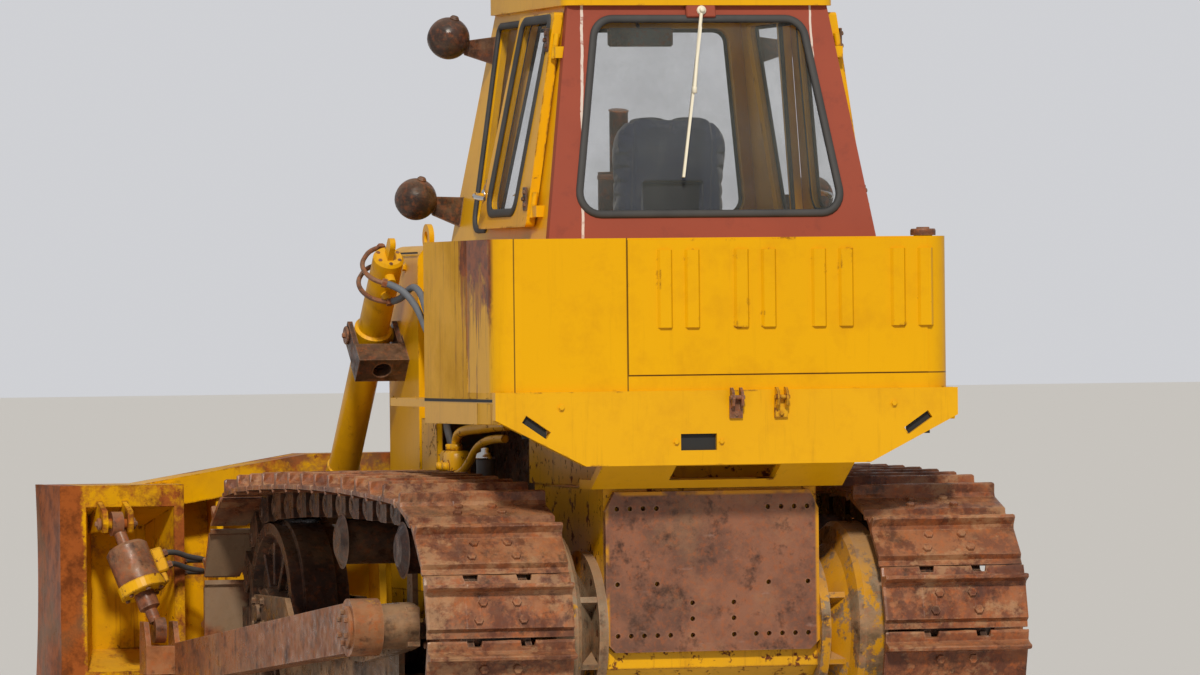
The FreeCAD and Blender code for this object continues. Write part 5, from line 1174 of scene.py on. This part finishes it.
def make_hoses(m):
    """Two hoses for each lift cylinder, from its pipes back and down to the hood's side."""
    routes = (((-0.535, 2.135, 1.790), (-0.500, 2.100, 1.755), (-0.475, 2.050, 1.700), (-0.468, 1.985, 1.640),
               (-0.470, 1.910, 1.600), (-0.464, 1.850, 1.585), (-0.455, 1.835, 1.580)),
              ((-0.512, 2.168, 1.742), (-0.492, 2.128, 1.782), (-0.480, 2.075, 1.792), (-0.470, 2.020, 1.760),
               (-0.466, 1.975, 1.705), (-0.464, 1.950, 1.680), (-0.455, 1.940, 1.675)))
    for side, way in (("left", -1), ("right", 1)):
        top = at(way * LIFT_X, *LIFT_YOKE)
        down = (at(way * LIFT_X, *LIFT_EYE) - top).normalized()
        front = Vector((0, -down.z, down.y))
        across = Vector((way, 0, 0))
        fittings = []
        for n, (t, reach) in enumerate(LIFT_PORTS):
            angle = math.radians(reach)
            start = top + down * t + (across * math.cos(angle) + front * math.sin(angle)) * 0.096
            route = [start] + [at(-way * x, y, z) for x, y, z in routes[n]]
            make_hose("lift_hose_%s_%d" % (side, n + 1), route, 0.027, m["hose"])
            end = Vector((way * 0.420, route[-1].y, route[-1].z))
            fittings.append(lathe([(0.030, -0.004), (0.030, 0.008), (0.020, 0.010), (0.020, 0.038)], 6, end, across))
        piece("hood_fittings_" + side, merged(fittings, "fittings"), "machine", m["bolt"])
    # The tilt cylinder's two hoses, round the corner of the blade's end box
    top = at(*TILT_TOP)
    down = (at(*TILT_EYE) - top).normalized()
    right = (Vector((1, 0, 0)) - down * down.x).normalized()
    fittings = []
    for n, (t, z) in enumerate(((0.172, 0.752), (0.222, 0.706))):
        port = top + down * t + right * 0.126
        fittings.append(rod(port, port + right * 0.024, 0.016, 6, 0.001))
        route = [port + right * 0.020, at(-1.215, 3.052, z + 0.012), at(-1.150, 3.085, z - 0.012), at(TILT_WALL + 0.060, 3.110, z - 0.022),
                 at(TILT_WALL + 0.085, 3.170, z - 0.028), at(TILT_WALL + 0.075, 3.230, z - 0.030), at(TILT_WALL + 0.030, 3.262, z - 0.030)]
        make_hose("tilt_hose_%d" % (n + 1), route, 0.022, m["black_hose"])
        wall = Vector((TILT_WALL, route[-1].y, route[-1].z))
        fittings.append(lathe([(0.022, -0.004), (0.022, 0.010), (0.015, 0.012), (0.015, 0.034)], 6, wall, Vector((1, 0, 0))))
    piece("tilt_hose_ends", merged(fittings[1::2], "ends"), "blade", m["bolt"])
    piece("tilt_hose_ports", merged(fittings[0::2], "ports"), "tilt_barrel", m["bolt"])




# Seat

def swollen(name, node, grid, cap, seams):
    """A padded form from a CAD solid: a little smaller, blown up by cloth, then sewn along its seams."""
    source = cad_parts[node]
    bm = bmesh.new()
    bm.from_mesh(source.data)
    bmesh.ops.remove_doubles(bm, verts=bm.verts[:], dist=0.0001)
    low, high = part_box(node)
    middle, size = (low + high) / 2, high - low
    inset = 0.011
    for v in bm.verts:
        for axis in range(3):
            v.co[axis] = middle[axis] + (v.co[axis] - middle[axis]) * (size[axis] - 2 * inset) / size[axis]
    mesh = bpy.data.meshes.new(name)
    bm.to_mesh(mesh)
    bm.free()
    obj = bpy.data.objects.new(name + "_form", mesh)
    bpy.context.scene.collection.objects.link(obj)
    remesh = obj.modifiers.new("remesh", "REMESH")
    remesh.mode = "VOXEL"
    remesh.voxel_size = grid
    bpy.context.view_layer.update()
    mesh = bpy.data.meshes.new_from_object(obj.evaluated_get(bpy.context.evaluated_depsgraph_get()))
    bpy.data.objects.remove(obj)
    rest = [v.co.copy() for v in mesh.vertices]
    blown = bpy.data.objects.new(name + "_blown", mesh)
    bpy.context.scene.collection.objects.link(blown)
    cloth = blown.modifiers.new("cloth", "CLOTH")
    cloth.settings.use_pressure = True
    cloth.settings.uniform_pressure_force = 4.0
    cloth.settings.effector_weights.gravity = 0.0
    cloth.settings.quality = 5
    for step in range(1, 21):
        bpy.context.scene.frame_set(step)
    final = blown.evaluated_get(bpy.context.evaluated_depsgraph_get()).to_mesh()
    for i, v in enumerate(final.vertices):
        travel = v.co - rest[i]
        if travel.length > cap:
            travel = travel.normalized() * cap
        mesh.vertices[i].co = rest[i] + travel
    blown.modifiers.clear()
    bpy.context.scene.frame_set(1)
    bpy.data.objects.remove(blown)
    obj = bpy.data.objects.new(name + "_smooth", mesh)
    bpy.context.scene.collection.objects.link(obj)
    smooth = obj.modifiers.new("smooth", "SUBSURF")
    smooth.levels = 1
    smooth.render_levels = 1
    bpy.context.view_layer.update()
    mesh = bpy.data.meshes.new_from_object(obj.evaluated_get(bpy.context.evaluated_depsgraph_get()))
    bpy.data.objects.remove(obj)
    sinks = []
    for v in mesh.vertices:
        depth = 0.0
        for axis, place, halfwidth, deep in seams:
            away = abs(v.co[axis] - middle[axis]) - place if place else abs(v.co[axis] - middle[axis])
            depth += deep * math.exp(-(away / halfwidth) ** 2)
        sinks.append(v.co - v.normal * depth)
    for v, co in zip(mesh.vertices, sinks):
        v.co = Vector((min(max(co.x, low.x - 0.010), high.x + 0.010), min(max(co.y, low.y - 0.010), high.y + 0.010),
                       max(co.z, low.z + 0.0005)))
    return mesh


def make_seat(m):
    # Axis, distance of the seams from the middle, how wide and how deep they are
    cushion_seams = ((0, 0.165, 0.006, 0.006), (1, 0.0, 0.007, 0.004))
    back_seams = ((0, 0.150, 0.006, 0.006),)
    for name, node, seams in (("seat_pad", "seat_cushion", cushion_seams), ("seat_backrest", "seat_back", back_seams)):
        mesh = swollen(name, node, 0.0065, 0.024, seams)
        obj = piece(name, mesh, "machine", m["fabric"], True)
        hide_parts(node)


# Materials of the CAD pieces that show as they are

LOOKS = {
    "side_box": ("side_box_left", "side_box_right"),
    "yellow": ("hood", "radiator_guard", "cab_front_wall", "cab_side_left",
               "cab_side_right", "cab_roof", "cowl", "deck", "air_cleaner"),
    "door": ("door_left", "door_right"),
    "tank": ("rear_tank",),
    "bumper": ("rear_bumper",),
    "cylinder": ("lift_barrel_left", "lift_barrel_right"),
    "worn": ("main_frame", "main_case"),
    "blade": ("blade", "blade_frame"),
    "arm": ("push_arm_left", "push_arm_right", "blade_brace"),
    "primer": ("cab_rear_wall",),
    "plate": ("rear_plate",),
    "drive": ("final_drive_left", "final_drive_right"),
    "frame": ("track_frame_left", "track_frame_right"),
    "track": ("sprocket_left", "sprocket_right", "cutting_edge"),
    "dark_steel": ("idler_left", "idler_right", "engine", "rollers_left", "rollers_right", "work_lamps_left", "work_lamps_right", "grille", "exhaust",
                   "lift_yoke_left", "lift_yoke_right"),
    "brown_barrel": ("tilt_barrel", "tilt_rod"),
    "grey_steel": ("radiator",),
    "navy": ("controls", "seat_frame"),
    "chrome": ("lift_rod_left", "lift_rod_right"),
    "glass": ("front_pane", "rear_pane", "side_panes", "door_pane_left", "door_pane_right"),
}


def paint_nodes(m):
    for look, names in LOOKS.items():
        for name in names:
            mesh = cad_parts[name].data
            if not mesh.materials:
                mesh.materials.append(m[look])
            for i in range(len(mesh.materials)):
                mesh.materials[i] = m[look]


def main():
    place_camera()
    light_scene()
    materials = make_materials()
    make_hoses(materials)
    paint_nodes(materials)
    make_tracks(materials)
    make_frame_bolts(materials)
    make_window_rubbers(materials)
    make_wiper(materials)
    make_cab_fittings(materials)
    make_lamps(materials)
    make_rear_fittings(materials)
    make_body_bolts(materials)
    make_side_bay(materials)
    make_exhaust_and_inlet(materials)
    make_blade_details(materials)
    make_lift_cylinder(materials, "left", -1)
    make_lift_cylinder(materials, "right", 1)
    make_tilt_cylinder(materials)
    make_seat(materials)


main()
